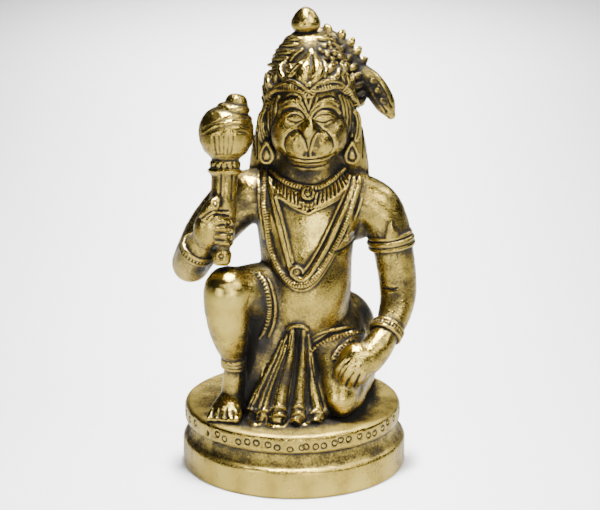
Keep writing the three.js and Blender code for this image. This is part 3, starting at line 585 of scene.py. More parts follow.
# Hands: the raised fist closes round the mace with its thumb up along the handle, and the resting hand
# lies over the knee with its fingers together.
skin = skin_of(wax)
for name, places in {
    "raised_first_finger": [(217, 222, 0.6), (221, 221, 0.8), (227, 221.5, 0.85), (232, 223, 0.7)],
    "raised_second_finger": [(217, 229, 0.6), (221, 228.5, 0.85), (227, 229, 0.9), (232, 230.5, 0.7)],
    "raised_third_finger": [(216, 236, 0.6), (220, 235.8, 0.85), (226, 236.5, 0.9), (231, 238, 0.7)],
    "raised_fourth_finger": [(216, 242, 0.5), (220, 242, 0.7), (225, 242.5, 0.7), (228, 243.5, 0.6)],
}.items():
    laid(name, places, lift=-0.15, segments=16)
laid("raised_thumb", [(204, 218, 1.5, 0.8), (209, 211, 1.8, 1.1), (213, 205, 1.7, 1.2),
                      (217, 199, 1.0, 0.8)], segments=16)
for name, places in {
    "resting_first_finger": [(344, 359, 0.8), (339.5, 366, 1.2), (337, 372, 1.2), (336.5, 377.5, 0.9)],
    "resting_second_finger": [(351, 363, 0.8), (346, 371, 1.2), (343, 378, 1.2), (342, 383, 0.9)],
    "resting_third_finger": [(358, 367, 0.8), (354, 374, 1.2), (351, 380.5, 1.15), (350, 386, 0.9)],
    "resting_fourth_finger": [(365, 371, 0.7), (361, 377, 1.05), (358.5, 382, 1.0), (357.5, 386.5, 0.8)],
}.items():
    laid(name, [(x, y, wide, 0.75 * wide) for x, y, wide in places], lift=-0.3, segments=16)

# Rings on the limbs: an armlet of three bands under a leaf, bracelets of three at both wrists, and an
# anklet of three, each a wax cord laid round the limb.
beaded_lines = []


def worn(name, at, along, radius, thick, beaded=False):
    """A ring of wax cord round a limb. Where it is beaded, its line is kept for the punch."""
    turned_to = Vector(along).to_track_quat("Z", "Y").to_euler()
    if beaded:
        beaded_lines.append(np.array([
            FIGURE_PLACE + Vector(at)
            + turned_to.to_matrix() @ Vector((radius * math.cos(a), radius * math.sin(a), 0))
            for a in np.linspace(0, 2 * math.pi, 49)]))
    bpy.ops.object.select_all(action="DESELECT")
    bpy.ops.mesh.primitive_torus_add(location=FIGURE_PLACE + Vector(at), rotation=turned_to,
                                     major_segments=64, minor_segments=12, major_radius=radius,
                                     minor_radius=thick)
    return keep(name)


for shift, thick in ((-1.4, 0.6), (-0.1, 0.75), (1.3, 0.5)):
    worn("armlet", (22.5 - 0.2 * shift, -1.5, 41.0 + shift), (0.16, -0.03, -1), 5.1 - 0.06 * shift, thick)
drawn("armlet_leaf", [(22.7, -5.9, 42.4, 2.0, 0.95), (22.5, -6.3, 44.3, 1.4, 0.85),
                      (22.2, -6.3, 46.5, 0.4, 0.5)], reference=(0.1, -1, 0.1))
for shift in (-1.3, -0.4, 0.5):
    worn("resting_bracelet", (21.4 - 0.45 * shift, -8.6 - 0.75 * shift, 19.9 - 0.6 * shift),
         (-0.42, -0.7, -0.58), 3.75, 0.45, beaded=shift == -0.4)
for shift in (-0.9, 0.0, 0.8):
    worn("raised_bracelet", (-23.2 + 0.36 * shift, -8.8 - 0.48 * shift, 40.6 + 0.8 * shift),
         (0.36, -0.48, 0.8), 3.95, 0.5, beaded=shift == 0)
for shift in (-0.8, 0.0, 0.8):
    worn("anklet", (-15.0, -10.75, 13.1 + shift), (-0.05 + 0.08 * shift, 0.16, -1), 2.65, 0.52)

# Jewellery on the chest: a beaded choker, a wide ribbed collar with a rosette, a ribbed garland, and
# smooth cords down to a round pendant.
skin = skin_of(wax)
CHOKER = [(272, 171), (281, 179), (290, 184), (300, 187), (310, 188.4), (320, 187), (330, 181), (338, 174),
          (344, 168)]
laid("choker", [(*place, wide) for place, wide in zip(CHOKER, (0.5, 0.6, *[0.65] * 5, 0.6, 0.5))], lift=0.3)
laid("collar", [(271, 181, 0.8, 0.5), (278, 189, 1.6, 0.6), (287, 195, 1.9, 0.65), (297, 199, 2.0, 0.7),
                (308, 200.5, 2.1, 0.7), (319, 199, 2.0, 0.7), (331, 193.5, 1.9, 0.65), (341, 185, 1.6, 0.6),
                (349, 176, 0.9, 0.5)], lift=0.15, segments=24)
COLLAR_RIM = [(270, 185), (276, 194), (285, 202), (295, 208), (303, 211.5), (309, 213.5), (314, 210.5),
              (325, 206), (336, 200), (346, 190), (354, 178)]
laid("collar_rim", even(COLLAR_RIM, 0.38), lift=0.25)


def boss(name, across, down, radius, lift, facing):
    """A round disc of wax with a rim and a bead at its middle, pressed flat on the skin."""
    point, facing = on_front(across, down)[0], Vector(facing).normalized()
    worn(name, point + facing * lift - FIGURE_PLACE, facing, radius - 0.3, 0.36)
    drawn(name, [(*(point + facing * (lift - 0.9) - FIGURE_PLACE), radius * 0.9, radius * 0.9),
                 (*(point + facing * (lift - 0.45) - FIGURE_PLACE), radius * 0.85, radius * 0.85)], caps=1,
                 segments=32)
    ball(name, point + facing * (lift + 0.1) - FIGURE_PLACE, (0.32 * radius,) * 3)


skin = skin_of(wax)
ROSETTE_ACROSS = 307.7
boss("rosette", ROSETTE_ACROSS, 194.5, 1.6, 0.75, (0.02, -0.85, 0.5))
for across, down in ((300, 202), (303.6, 204), (307.6, 204.8), (311.6, 203.8), (315.2, 201.6), (303, 208),
                     (307, 209.2), (311, 207.6)):
    bead("collar_bead", across, down, 0.42, 0.2)
GARLAND = [(264, 168), (264.3, 180), (264.7, 203), (268.5, 231), (273.3, 253), (279, 267), (286, 278),
           (294.5, 284.5), (304, 285), (313.5, 279), (324.5, 263), (335.7, 243), (346, 221), (354.5, 198),
           (360, 180)]
laid("garland", even(GARLAND, 0.72, 0.7), lift=0.4, segments=18)
for name, lift, size, places in [
        ("inner_cord", 0.35, (0.7, 0.6), [
            (270.5, 180), (273.3, 196), (278.5, 222), (285, 246), (290.5, 266), (295.5, 276.5), (302, 280),
            (309, 275), (317, 262.5), (327.7, 243.5), (338.5, 221), (347.8, 199), (353.5, 182)]),
        ("pendant_cord", 0.3, (0.38,), [(276, 196), (282.5, 220), (288.5, 243), (293, 262)]),
        ("outer_cord", 0.2, (0.34,), [
            (270, 254), (275.3, 268), (285, 281.5), (296, 289.5), (306, 289.5), (315.5, 283), (325, 270),
            (336, 251), (347, 232), (355, 216), (361.5, 200)]),
        ("second_cord", 0.3, (0.32,), [
            (305, 270), (312, 259), (322.5, 240), (333, 218), (342, 198), (348, 183)]),
        ("shoulder_cord", 0.15, (0.4,), [(258.5, 172), (258.5, 188), (259.5, 205), (262, 222), (265, 238)])]:
    laid(name, even(places, *size), lift=lift)
skin = skin_of(wax)
boss("pendant", 297, 271.6, 1.75, 0.5, (0, -1, -0.12))
bead("nipple", 345.8, 238, 0.95, -0.1)

# Cloth in folds: pleats that fan from the waist to a curled hem, and borders over both thighs, thin
# rolls of wax laid on the wrapped cloth and pressed down at their sides.
for name, places in {
    "pleat_far_left": [(283, 340, 0.3), (274, 362, 0.55), (263, 384, 0.8), (255, 402, 1.1), (251, 417, 1.5)],
    "pleat_left": [(288, 334, 0.4), (282, 356, 0.7), (273, 379, 1.0), (266, 399, 1.3), (263, 419, 1.7)],
    "pleat_broad": [(293, 329, 0.55), (291, 350, 0.9), (286, 373, 1.2), (281, 396, 1.5), (278, 420, 1.9)],
    "pleat_middle": [(304, 329, 0.55), (303, 350, 0.8), (301, 373, 1.1), (299, 396, 1.3), (298, 419, 1.7)],
    "pleat_right": [(308, 334, 0.35), (310, 356, 0.6), (312, 380, 0.9), (315, 400, 1.2), (318, 417, 1.6)],
}.items():
    laid(name, [(x, y, wide, 0.75 * wide + 0.25) for x, y, wide in places], lift=0.2, segments=20)
laid("pleat_top", [(288, 329, 0.35), (292, 326, 0.45), (298, 325, 0.5), (304, 326, 0.45), (308, 329.5, 0.35)],
     lift=0.3)
skin = skin_of(wax)
for name, places in {
    "hem_far_left_curl": [(244, 413, 0.35), (249, 409, 0.5), (255, 410, 0.5), (258, 414, 0.35)],
    "hem_left_curl": [(259, 413, 0.35), (263, 410, 0.45), (268, 412, 0.4)],
    "hem_broad_curl": [(270, 410, 0.4), (276, 406.5, 0.55), (282, 407, 0.55), (286, 411, 0.4)],
    "hem_broad_fold": [(270, 418, 0.4), (276, 414.5, 0.55), (282, 415, 0.55), (286, 419, 0.4)],
    "hem_middle_curl": [(292, 409, 0.4), (296, 405.5, 0.5), (301, 406, 0.5), (305, 410, 0.4)],
    "hem_middle_fold": [(291, 417, 0.4), (296, 412.5, 0.5), (301, 413, 0.5), (305, 418, 0.4)],
    "hem_right_curl": [(309, 414, 0.35), (315, 411, 0.45), (322, 413, 0.4)],
}.items():
    laid(name, places)
laid("hem_edge", [(244, 415, 0.45), (248, 421, 0.6), (253, 426, 0.65), (259, 426, 0.55), (264, 423.5, 0.5),
                  (271, 427.5, 0.65), (281, 428, 0.65), (288, 425, 0.55), (292, 420.5, 0.5),
                  (297, 419.5, 0.55), (300.5, 425, 0.6), (305.5, 426, 0.6), (310, 421.5, 0.5),
                  (316, 419.5, 0.55), (321, 422, 0.45)], lift=0.15)
RAISED_BORDER = [(257, 274, 0.6), (263, 282, 0.65), (267, 293, 0.65), (269, 306, 0.65), (268, 319, 0.6),
                 (264, 331, 0.5), (260, 338, 0.4)]
KNEELING_BORDER = [(311, 352, 0.4), (319, 344, 0.5), (329, 339, 0.6), (340, 336, 0.6), (352, 333, 0.6),
                   (364, 332, 0.5)]
CUFF_BORDER = [(333, 360, 0.4), (335.5, 354, 0.45), (340, 349.5, 0.45), (345, 344.5, 0.45), (351, 339, 0.4)]
for name, places in {
    "raised_border": RAISED_BORDER,
    "raised_border_fold": [(268, 280, 0.35), (273, 294, 0.4), (275, 308, 0.4), (274, 322, 0.4),
                           (269, 336, 0.35)],
    "kneeling_border": KNEELING_BORDER,
    "kneeling_fold": [(312, 337, 0.3), (324, 332, 0.4), (337, 329, 0.4), (350, 327.5, 0.4), (364, 328, 0.3)],
    "cuff_border": CUFF_BORDER,
}.items():
    laid(name, places, lift=0.0 if name.startswith("kneeling") else 0.3)

# Cloth behind: a sash of two cords round the loins on either side of the tail, and the skirt's hem
# round the seat. Rolls of wax again, plainer than the front's.
BEHIND = 40


def on_back(across, height):
    """The point of the back at a place counted from the figure's foot."""
    return skin.ray_cast(FIGURE_PLACE + Vector((across, BEHIND, height)), Vector((0, -1, 0)))[0]


skin = skin_of(wax)
for places, thick in [([(-9.6, 18.0), (-7.6, 20.4), (-4, 22.4), (-1, 22.9), (1.2, 22.6)], 0.7),
                      ([(7.9, 22.8), (10.5, 22.6), (13.5, 21.2), (16.4, 18.4)], 0.7),
                      ([(-9.9, 15.8), (-7.8, 18.2), (-4, 20.2), (-1, 20.7), (1.2, 20.4)], 0.5),
                      ([(7.9, 20.6), (10.5, 20.4), (13.7, 19.0), (16.8, 16.2)], 0.5),
                      ([(-8.4, 3.4), (-4, 2.4), (0, 2.0), (4, 1.9), (8, 2.2), (11, 3.0)], 0.6)]:
    roll("sash_cord", [on_back(*place) - FIGURE_PLACE for place in places], thick, reference=(0, 1, 0.1))

# Casting: all the wax is pressed into one skin, which is what is cast in brass. Its grain is fine enough
# for the thinnest cord, and what little smoothing it has is the melt's own.
CAST_GRAIN = 0.21
CAST_ROUNDS = 4
casting = make_one("hanuman_casting", wax, CAST_GRAIN, CAST_ROUNDS)

# Chasing: once the casting is cold its lines are cut with small chisels, and its ribs, beads and rings
# are struck with punches, all along lines of the front drawing.
PRICK = 0.12
BLUNT = 0.5
MOST_RAISED = 0.6
PUNCH_REACH = 0.35
PUNCH_EDGE = 0.22


def tree_of(places):
    """The places sorted, so that those near a point are found fast."""
    tree = KDTree(len(places))
    for i, place in enumerate(places):
        tree.insert(place, i)
    tree.balance()
    return tree


skin = skin_of([casting])
spots = triples(casting.data.vertices, "co")
facings = triples(casting.data.vertex_normals, "vector")
grains = tree_of(spots)
raised = np.zeros(len(spots))
cut = np.zeros(len(spots))


def evenly(places):
    """The same line with a point every prick."""
    places = np.array(places)
    lengths = np.concatenate([[0], np.cumsum(np.linalg.norm(np.diff(places, axis=0), axis=1))])
    pricks = np.arange(0, lengths[-1] + PRICK / 2, PRICK)
    return np.stack([np.interp(pricks, lengths, places[:, k]) for k in range(3)], 1)


def traced(places):
    """A line of the front drawing as points on the skin."""
    return evenly([on_front(*place)[0] for place in curve(places, 8)])


def traced_behind(places):
    """A line on the back as points on the skin."""
    return evenly([on_back(*place) for place in curve(places, 4)])


def beside(line, reach):
    """The grains within reach of a line: which they are, how far off it and how far along it."""
    nearest = {}
    for k, place in enumerate(line):
        for _, i, apart in grains.find_range(place, reach):
            if apart < nearest.get(i, (reach, 0))[0]:
                nearest[i] = (apart, k)
    found = np.array([(i, apart, k * PRICK) for i, (apart, k) in nearest.items()]).reshape(-1, 3)
    return found[:, 0].astype(int), found[:, 1], found[:, 2]


def stroke(line, width, deep, start):
    """The grains along a line and how deep a round tool works each, from a start of its full depth."""
    which, apart, along = beside(line, width)
    ends = np.clip(np.minimum(along, along.max(initial=0) - along) / BLUNT + start, 0, 1)
    return which, deep * ends * np.cos(apart / width * math.pi / 2)


def groove(line, width, depth):
    """A line cut into the skin with a chisel."""
    which, deep = stroke(line, width, depth, 0.35)
    cut[which] = np.maximum(cut[which], deep)


def chisel(width, depth, lines):
    """Lines of the front drawing, all cut with one chisel."""
    for places in lines:
        groove(traced(places), width, depth)


def ridge(line, width, height):
    """A line left standing proud."""
    which, high = stroke(line, width, height, 0.3)
    raised[which] = np.maximum(raised[which], high)


def ribs(line, width, pitch, depth):
    """Notches across a cord, struck at an even pitch."""
    which, apart, along = beside(line, width)
    notch = (0.5 + 0.5 * np.cos(2 * math.pi * along / pitch)) ** 2
    cut[which] = np.maximum(cut[which], depth * notch * np.clip(2.5 * (1 - apart / width), 0, 1))


def ring(place, radius, depth):
    """A hollow ring punch: a round groove about a small raised spot."""
    which, apart, _ = beside([place], radius + PUNCH_REACH)
    cut[which] = np.maximum(cut[which], depth * np.exp(-((apart - radius) / PUNCH_EDGE) ** 2))


def dimple(place, radius, depth):
    """A round pit."""
    which, apart, _ = beside([place], radius)
    cut[which] = np.maximum(cut[which], depth * np.cos(apart / radius * math.pi / 2))


# Chasing of the face: brow and forehead wrinkles, closed eyes, the folds about the nose and muzzle.
# Each line has a chisel of its own width and depth, and what stands proud is pushed up beside it.
for places, width, depth in [
        ([(284, 100), (290, 96), (297, 97), (302, 101), (306, 107)], 0.36, 0.17),
        ([(284, 105), (290, 101), (296, 102), (301, 106), (305, 111)], 0.36, 0.17),
        ([(313, 107), (317, 101), (323, 97), (330, 96), (335, 98), (338, 103)], 0.36, 0.17),
        ([(316, 109), (321, 104), (327, 102), (333, 103), (337, 107)], 0.36, 0.17),
        ([(302, 98), (304, 104), (306.5, 109), (308.5, 113)], 0.35, 0.28),
        ([(315.5, 98), (313.5, 104), (311, 109), (308.5, 113)], 0.35, 0.28),
        ([(279.5, 116), (283, 111.5), (289, 109.5), (296, 109.5), (302, 112.5), (305.5, 118)], 0.45, 0.35),
        ([(313, 118), (316.5, 112.5), (323, 109.5), (330, 109.5), (336, 112), (339, 116)], 0.45, 0.35),
        ([(285.5, 118), (289, 115.6), (294, 114.4), (299, 115.8), (303, 119)], 0.3, 0.2),
        ([(315, 119), (318.5, 116), (324, 114.4), (329.5, 114.8), (334.5, 117)], 0.3, 0.2),
        ([(286, 119.6), (291, 121.8), (297, 122.6), (302, 120.4)], 0.3, 0.32),
        ([(315.6, 120.6), (321, 122.6), (327, 122), (333.5, 118.8)], 0.3, 0.32),
        ([(302.5, 122), (299.5, 125), (296, 129)], 0.34, 0.2),
        ([(316, 123), (319, 126), (322, 129)], 0.34, 0.2),
        ([(297, 129), (301.5, 134), (305, 141), (307.3, 150), (308, 158)], 0.42, 0.5),
        ([(321, 129), (316, 134), (312, 141), (310, 150), (309.4, 158)], 0.42, 0.5),
        ([(297, 129), (290, 132.5), (285.5, 139), (284.5, 147), (287, 154)], 0.4, 0.35),
        ([(321, 129), (327, 132.5), (332, 139), (333.5, 147), (331, 154)], 0.4, 0.35),
        ([(284, 155), (290, 158), (298, 159.6), (308.5, 160.2), (318, 159.6), (327, 158), (334, 154)],
         0.5, 0.6),
        ([(292, 165), (300, 167.4), (309, 168), (318, 167.4), (326, 165)], 0.4, 0.3),
        ([(304.5, 138), (306.6, 139)], 0.35, 0.3), ([(313.5, 138), (311.6, 139)], 0.35, 0.3),
]:
    groove(traced(places), width, depth)
for places, width, height in [
        ([(279, 112), (285, 107), (292, 105.8), (299, 107.2), (304, 111.5), (307, 117)], 0.5, 0.28),
        ([(311, 117), (314.5, 111.5), (321, 107), (329, 106.2), (336, 108.6), (341, 113)], 0.5, 0.28),
        ([(305, 96), (306.5, 102), (308.5, 108)], 0.36, 0.3),
        ([(312, 96), (310.5, 102), (308.5, 108)], 0.36, 0.3),
        ([(299, 95), (302.5, 104), (306.5, 112)], 0.36, 0.22),
        ([(318, 95), (314.5, 104), (310.5, 112)], 0.36, 0.22),
        ([(295.5, 140), (295, 147), (297, 153)], 0.7, 0.25),
        ([(322, 140), (322.5, 147), (320, 153)], 0.7, 0.25),
        ([(291, 162), (300, 163.8), (309, 164.2), (318, 163.8), (327, 162)], 0.5, 0.28),
]:
    ridge(traced(places), width, height)

# Chasing of the crown, hair and tail: twisted cords, veins of the leaves and strands of hair. Behind,
# two strands are cut in each lock, and the tail is cut across in pointed strokes like a plait.
ribs(traced(even(ARCH, drop=ARCH_CORD_DROP)), 0.75, 0.84, 0.32)
chisel(0.3, 0.14, [
    [(308, 82), (304, 79)], [(308.5, 76), (303.5, 72)], [(309.5, 70), (305, 66)],
    [(309.5, 79), (314, 76.5)], [(310.5, 72), (316, 69.5)], [(311.5, 65), (316, 62.5)],
])
chisel(0.34, 0.25, [
    [(308.5, 88), (308.6, 78), (310.5, 66), (311.5, 54)], [(285, 76), (284, 71), (285, 66)],
    [(290, 75), (295, 70), (300, 64)], [(272, 84), (271, 80), (272, 76)], [(346.5, 87), (346, 80), (343, 72)],
    [(288, 82), (296, 86), (303, 91)], [(314, 91), (321, 86.5), (329, 84)], [(335, 73), (332, 77), (327, 78)],
])
chisel(0.42, 0.3, [
    [(372, 90), (379, 101), (387, 113)], [(379, 82), (386, 94), (392, 108)], [(370, 88), (374, 90)],
    [(375, 96), (379, 97)], [(380, 104), (384, 105)], [(378, 88), (382, 89)], [(383, 96), (387, 97)],
    [(262, 113), (260, 122), (261, 132), (263, 140)], [(266, 112), (265, 122), (266, 132), (267, 139)],
    [(270, 114), (270, 124), (270, 134)], [(357, 113), (359, 122), (358, 132), (356, 140)],
    [(353, 114), (354, 124), (353, 134)], [(254, 124), (254, 140), (255, 156)],
    [(258, 124), (257, 142), (257, 160)], [(362, 124), (363, 142), (363, 158)],
    [(366, 130), (367, 146), (367, 158)],
])
HAIR_MIDDLE = 2.8
CLEAR_OF_HAIR = 30
for lock in LOCKS:
    for strand in (-0.06, 0.06):
        line = []
        for height in range(74, 57, -3):
            around = lock_turn(lock, height) + strand
            way = Vector((math.sin(around), math.cos(around), 0))
            start = FIGURE_PLACE + Vector((HEAD_MIDDLE, HAIR_MIDDLE, height)) + CLEAR_OF_HAIR * way
            line.append(skin.ray_cast(start, -way)[0])
        groove(evenly(curve(line, 4)), 0.4, 0.22)
PLAIT_CUTS = 39
for step in range(PLAIT_CUTS):
    height = 13 + 1.9 * step
    middle = 4.0 + 0.5 * min(1, step / 7)
    groove(evenly([on_back(middle + x, height - 0.7 * abs(x)) for x in (-1.8, -1.2, -0.6, 0, 0.6, 1.2, 1.8)]),
           0.4, 0.35)
for i in range(2, 44, 4):
    (x, _, z), (next_x, _, next_z) = curve(TAIL_ARCH, 8)[[i, i + 1]]
    along = Vector((next_x - x, next_z - z)).normalized()
    groove(evenly([on_back(x - along.y * w - 0.6 * along.x * abs(w), z + along.x * w - 0.6 * along.y * abs(w))
                   for w in (-1.4, -0.9, -0.4, 0, 0.4, 0.9, 1.4)]), 0.4, 0.3)
for places in [[(16.6, 79), (18.4, 76.4), (20, 73.4)], [(18.2, 79), (20, 76.2), (21.6, 72.6)],
               [(19, 74), (20.4, 71.8), (21.6, 70)]]:
    groove(traced_behind(places), 0.4, 0.25)

# Chasing of the jewellery, hands and mace: the choker beaded, the collar ribbed on both sides of its
# rosette, the garland and cords notched, the fingers parted, and flutes and steps cut round the mace.
ribs(traced(GARLAND), 0.85, 0.66, 0.42)
ribs(traced(CHOKER), 0.75, 0.75, 0.4)
BESIDE_ROSETTE = 8.5
COLLAR_TEETH = 24
COLLAR_STATIONS = 240  # ten spans of the rim in 24 each, and eight of the choker in 30 each
for tooth in range(COLLAR_TEETH + 1):
    share = tooth / COLLAR_TEETH
    rim = curve(COLLAR_RIM, 24)[int(share * COLLAR_STATIONS)]
    top = curve(CHOKER, 30)[int(share * COLLAR_STATIONS)]
    if abs(rim[0] - ROSETTE_ACROSS) > BESIDE_ROSETTE:
        groove(traced([top * 0.75 + rim * 0.25, top * 0.2 + rim * 0.8]), 0.32, 0.4)
for line in beaded_lines:
    ribs(evenly(line), 0.7, 0.8, 0.35)
chisel(0.45, 0.4, [
    [(335, 252), (342, 250), (350, 244), (355, 238)], [(382, 288), (392, 289.5), (397, 288)],
    [(200, 219), (208, 213), (218, 210.5), (230, 211)], [(204, 221), (210, 216.5), (218, 214.5), (230, 216)],
    [(339.5, 381), (342.5, 373), (347, 366)], [(346.5, 385), (349, 378.5), (354, 370.5)],
    [(354.5, 387), (357, 381), (361, 374)],
])
for across, down in ((229.5, 222.5), (229.8, 229.6), (229.6, 237.4), (215.4, 203.4), (221, 256),
                     (345.8, 238)):
    ring(on_front(across, down)[0], 0.55, 0.3)
chisel(0.45, 0.2, [[(221, 172), (221, 184), (220.5, 196)], [(232, 172), (232, 184), (231.5, 200)]])
MACE_ACROSS = 224
for flute in range(5):
    across = 213.5 + 5.0 * flute
    out = across - MACE_ACROSS
    groove(traced([(across, 135), (MACE_ACROSS + out * 0.9, 146), (MACE_ACROSS + out * 0.66, 156)]), 0.5, 0.2)
chisel(0.5, 0.16, [
    [(202, 131), (210, 125), (220, 121), (233, 118.5), (247, 118)],
    [(201, 136), (214, 129.5), (226, 126), (238, 125), (250, 128)], [(238, 132), (245, 133), (251, 137)],
])
ribs(traced([(209, 162), (217, 165), (225, 166), (233, 165), (241, 162.5)]), 0.9, 1.5, 0.35)

# Chasing of the cloth, feet and plinth: beaded borders, folds cut between the pleats and round the seat,
# toes parted, and hollow rings punched round the disc by eye, closer here and wider there.
for border in (RAISED_BORDER[:-1], CUFF_BORDER, KNEELING_BORDER):
    ribs(traced([place[:2] for place in border]), 0.75, 0.9, 0.4)
chisel(0.5, 0.5, [
    [(258, 418), (262, 404), (270, 382), (280, 358), (287, 340)],
    [(270, 420), (274, 402), (280, 378), (287, 352), (291, 335)],
    [(289, 424), (290, 404), (294, 380), (297, 352), (298, 332)],
    [(309, 420), (307, 402), (306, 378), (306, 352), (306, 338)],
    [(246, 416), (252, 400), (260, 382), (268, 364)], [(324, 414), (320, 398), (315, 378), (311, 356)],
    [(264, 424), (265, 418)], [(283, 418), (283, 426)], [(313, 345), (330, 335), (350, 330)],
])
for places in [[(-8.5, 19), (-6.5, 13), (-2.5, 9), (2, 7.6)],
               [(-7, 17.6), (-4.5, 15.4), (-1, 13.4), (2, 12.6)],
               [(-8.5, 12), (-6, 7.6), (-2, 4.6), (3, 3.8)],
               [(15.5, 19), (13.5, 13.5), (10, 9.5), (6.4, 7.8)],
               [(13.5, 17.6), (12, 15.8), (9, 13.8), (6.4, 12.8)],
               [(14.5, 12), (12, 7.6), (8.5, 5), (4, 3.9)]]:
    groove(traced_behind(places), 0.7, 0.4)
ASIDE = 45
for out, places in [(-1, [(-6.5, 14), (-7.4, 8), (-8.6, 2)]), (-1, [(-4.4, 15), (-4.8, 9), (-5.4, 2)]),
                    (-1, [(-2.2, 16), (-2, 9), (-2, 2)]), (-1, [(0.2, 17), (1, 10), (1.6, 3)]),
                    (1, [(12, 20), (7, 16), (1, 12.5), (-4, 10)]),
                    (1, [(13.6, 14), (8, 11), (2, 8.4), (-4, 7)]), (1, [(10, 19), (6, 17.8), (1, 15.4)]),
                    (-1, [(10.5, 16), (6, 19), (0, 22)]), (-1, [(12, 11), (8, 14.5), (2, 17.5)]),
                    (-1, [(12.5, 6), (8, 10), (3, 12.6)]), (-1, [(10.5, 2.6), (7.5, 5.6), (4.5, 7.6)])]:
    groove(evenly([skin.ray_cast(FIGURE_PLACE + Vector((out * ASIDE, along, height)), Vector((-out, 0, 0)))[0]
                   for along, height in curve(places, 4)]), 0.7, 0.45)
for toe in range(4):
    across = KNEELING_TOE_APART * (toe - 1.5)
    line = [skin.ray_cast(FIGURE_PLACE + Vector((x + across, y + 0.4 * across, 8)), Vector((0, 0, -1)))[0]
            for x, y in ((14.1, 18.6), (13.8, 19.6), (13.5, 20.6))]
    groove(evenly(line), 0.45, 0.4)
for toe in range(4):
    groove(traced([(213.6 + 6.2 * toe, 407 + 0.9 * toe), (213 + 6.4 * toe, 411 + 1.1 * toe),
                   (213 + 6.5 * toe, 417 + toe)]), 0.35, 0.2)
RIM_RINGS = [
    (217, 434), (224, 439), (238, 442), (247, 442), (256, 443), (268, 445), (277, 448), (290, 450),
    (302, 448), (306, 447), (316, 447), (324, 446), (335, 443), (341, 440), (349, 439), (360, 436),
    (369, 435), (375, 433), (383, 428), (388, 422), (394, 418),
]
RING_RADIUS = 0.68
for across, down in RIM_RINGS:
    ring(on_front(across, down)[0], RING_RADIUS, 0.3)
dimple(on_front(207, 433)[0], 0.9, 0.7)
RINGS_BEHIND = 34
RING_PITCH = 8.6
RIM_RADIUS = 26.2
RIM_HEIGHT = 13.4
hand = random.Random(7)
for k in range(RINGS_BEHIND):
    angle = math.radians(-60 + RING_PITCH * k + hand.uniform(-2, 2))
    rim = Vector((DISC_OFF_CENTRE + RIM_RADIUS * math.cos(angle), RIM_RADIUS * math.sin(angle),
                  RIM_HEIGHT + hand.uniform(-0.5, 0.6)))
    if rim.y > -6 or rim.x < -22:
        ring(skin.find_nearest(rim)[0], RING_RADIUS, 0.28)
spots += facings * (np.minimum(raised, MOST_RAISED) - cut)[:, None]
casting.data.vertices.foreach_set("co", spots.ravel())
casting.data.update()

# Patina and painted shade: how deep each grain lies in its surroundings, near and far, is taken off the
# full skin to darken its hollows. The skin is then thinned where it is flat and keeps the full one's
# facings, so it shines as smoothly.
TRIANGLES = 196000
NEAR_ROUNDS = 5
FAR_ROUNDS = 26


def smoothed(values, rounds):
    """Each grain's values drawn half way to its neighbours' mean, round after round."""
    for _ in range(rounds):
        total = [np.bincount(ends, np.concatenate([v[pairs[:, 1]], v[pairs[:, 0]]]),
                             len(values)) for v in values.T]
        values = 0.5 * values + 0.5 * np.stack(total, 1) / meeting[:, None]
    return values


pairs = np.empty(len(casting.data.edges) * 2, int)
casting.data.edges.foreach_get("vertices", pairs)
pairs = pairs.reshape(-1, 2)
ends = np.concatenate([pairs[:, 0], pairs[:, 1]])
meeting = np.maximum(np.bincount(ends, minlength=len(spots)), 1)
facings = triples(casting.data.vertex_normals, "vector")
near = smoothed(spots, NEAR_ROUNDS)
far = smoothed(near, FAR_ROUNDS)
near_depth = ((near - spots) * facings).sum(1)
far_depth = ((far - spots) * facings).sum(1)
facings = smoothed(facings, 1)
full = tree_of(spots)
triangles = sum(len(p.vertices) - 2 for p in casting.data.polygons)
bpy.ops.object.select_all(action="DESELECT")
casting.select_set(True)
bpy.context.view_layer.objects.active = casting
bpy.ops.object.modifier_add(type="DECIMATE")
casting.modifiers["Decimate"].ratio = TRIANGLES / triangles
casting.modifiers["Decimate"].use_collapse_triangulate = True
bpy.ops.object.modifier_apply(modifier="Decimate")
bpy.ops.object.shade_smooth()
# Bubbles shut in under the skin are left out: all that isn't joined to the lowest place goes.
bpy.ops.object.mode_set(mode="EDIT")
bpy.ops.mesh.select_all(action="DESELECT")
bpy.ops.object.mode_set(mode="OBJECT")
casting.data.vertices[int(triples(casting.data.vertices, "co")[:, 2].argmin())].select = True
bpy.ops.object.mode_set(mode="EDIT")
bpy.ops.mesh.select_linked()
bpy.ops.mesh.select_all(action="INVERT")
bpy.ops.mesh.delete(type="VERT")
bpy.ops.object.mode_set(mode="OBJECT")
thin = triples(casting.data.vertices, "co")
same = np.array([full.find(place)[1] for place in thin])

# Open sky: how much of it each grain sees, by rays spread over the half round it faces. Where little is
# seen the brass is darkened, part patina and part painted shade, as shade falls there.
skin = skin_of([casting])
RAYS = 14
SKY_REACH = 14.0
GOLDEN_TURN = 2.39996
CLEAR_OF_SKIN = 0.12
ASKEW = (0.3, 0.2, 0.93)
turn = np.arange(RAYS) * GOLDEN_TURN
rise = np.sqrt(1 - (np.arange(RAYS) + 0.5) / RAYS)
spread = np.stack([np.cos(turn) * np.sqrt(1 - rise ** 2), np.sin(turn) * np.sqrt(1 - rise ** 2), rise], 1)
out = facings[same] / np.linalg.norm(facings[same], axis=1)[:, None]
across = np.cross(out, ASKEW)
across /= np.linalg.norm(across, axis=1)[:, None]
upward = np.cross(out, across)
sky = np.zeros(len(thin))
start = thin + out * CLEAR_OF_SKIN
for ray in spread:
    ways = across * ray[0] + upward * ray[1] + out * ray[2]
    for i in range(len(thin)):
        hit = skin.ray_cast(start[i], ways[i], SKY_REACH)[3]
        sky[i] += 1 if hit is None else min(1, hit / SKY_REACH)
sky /= RAYS
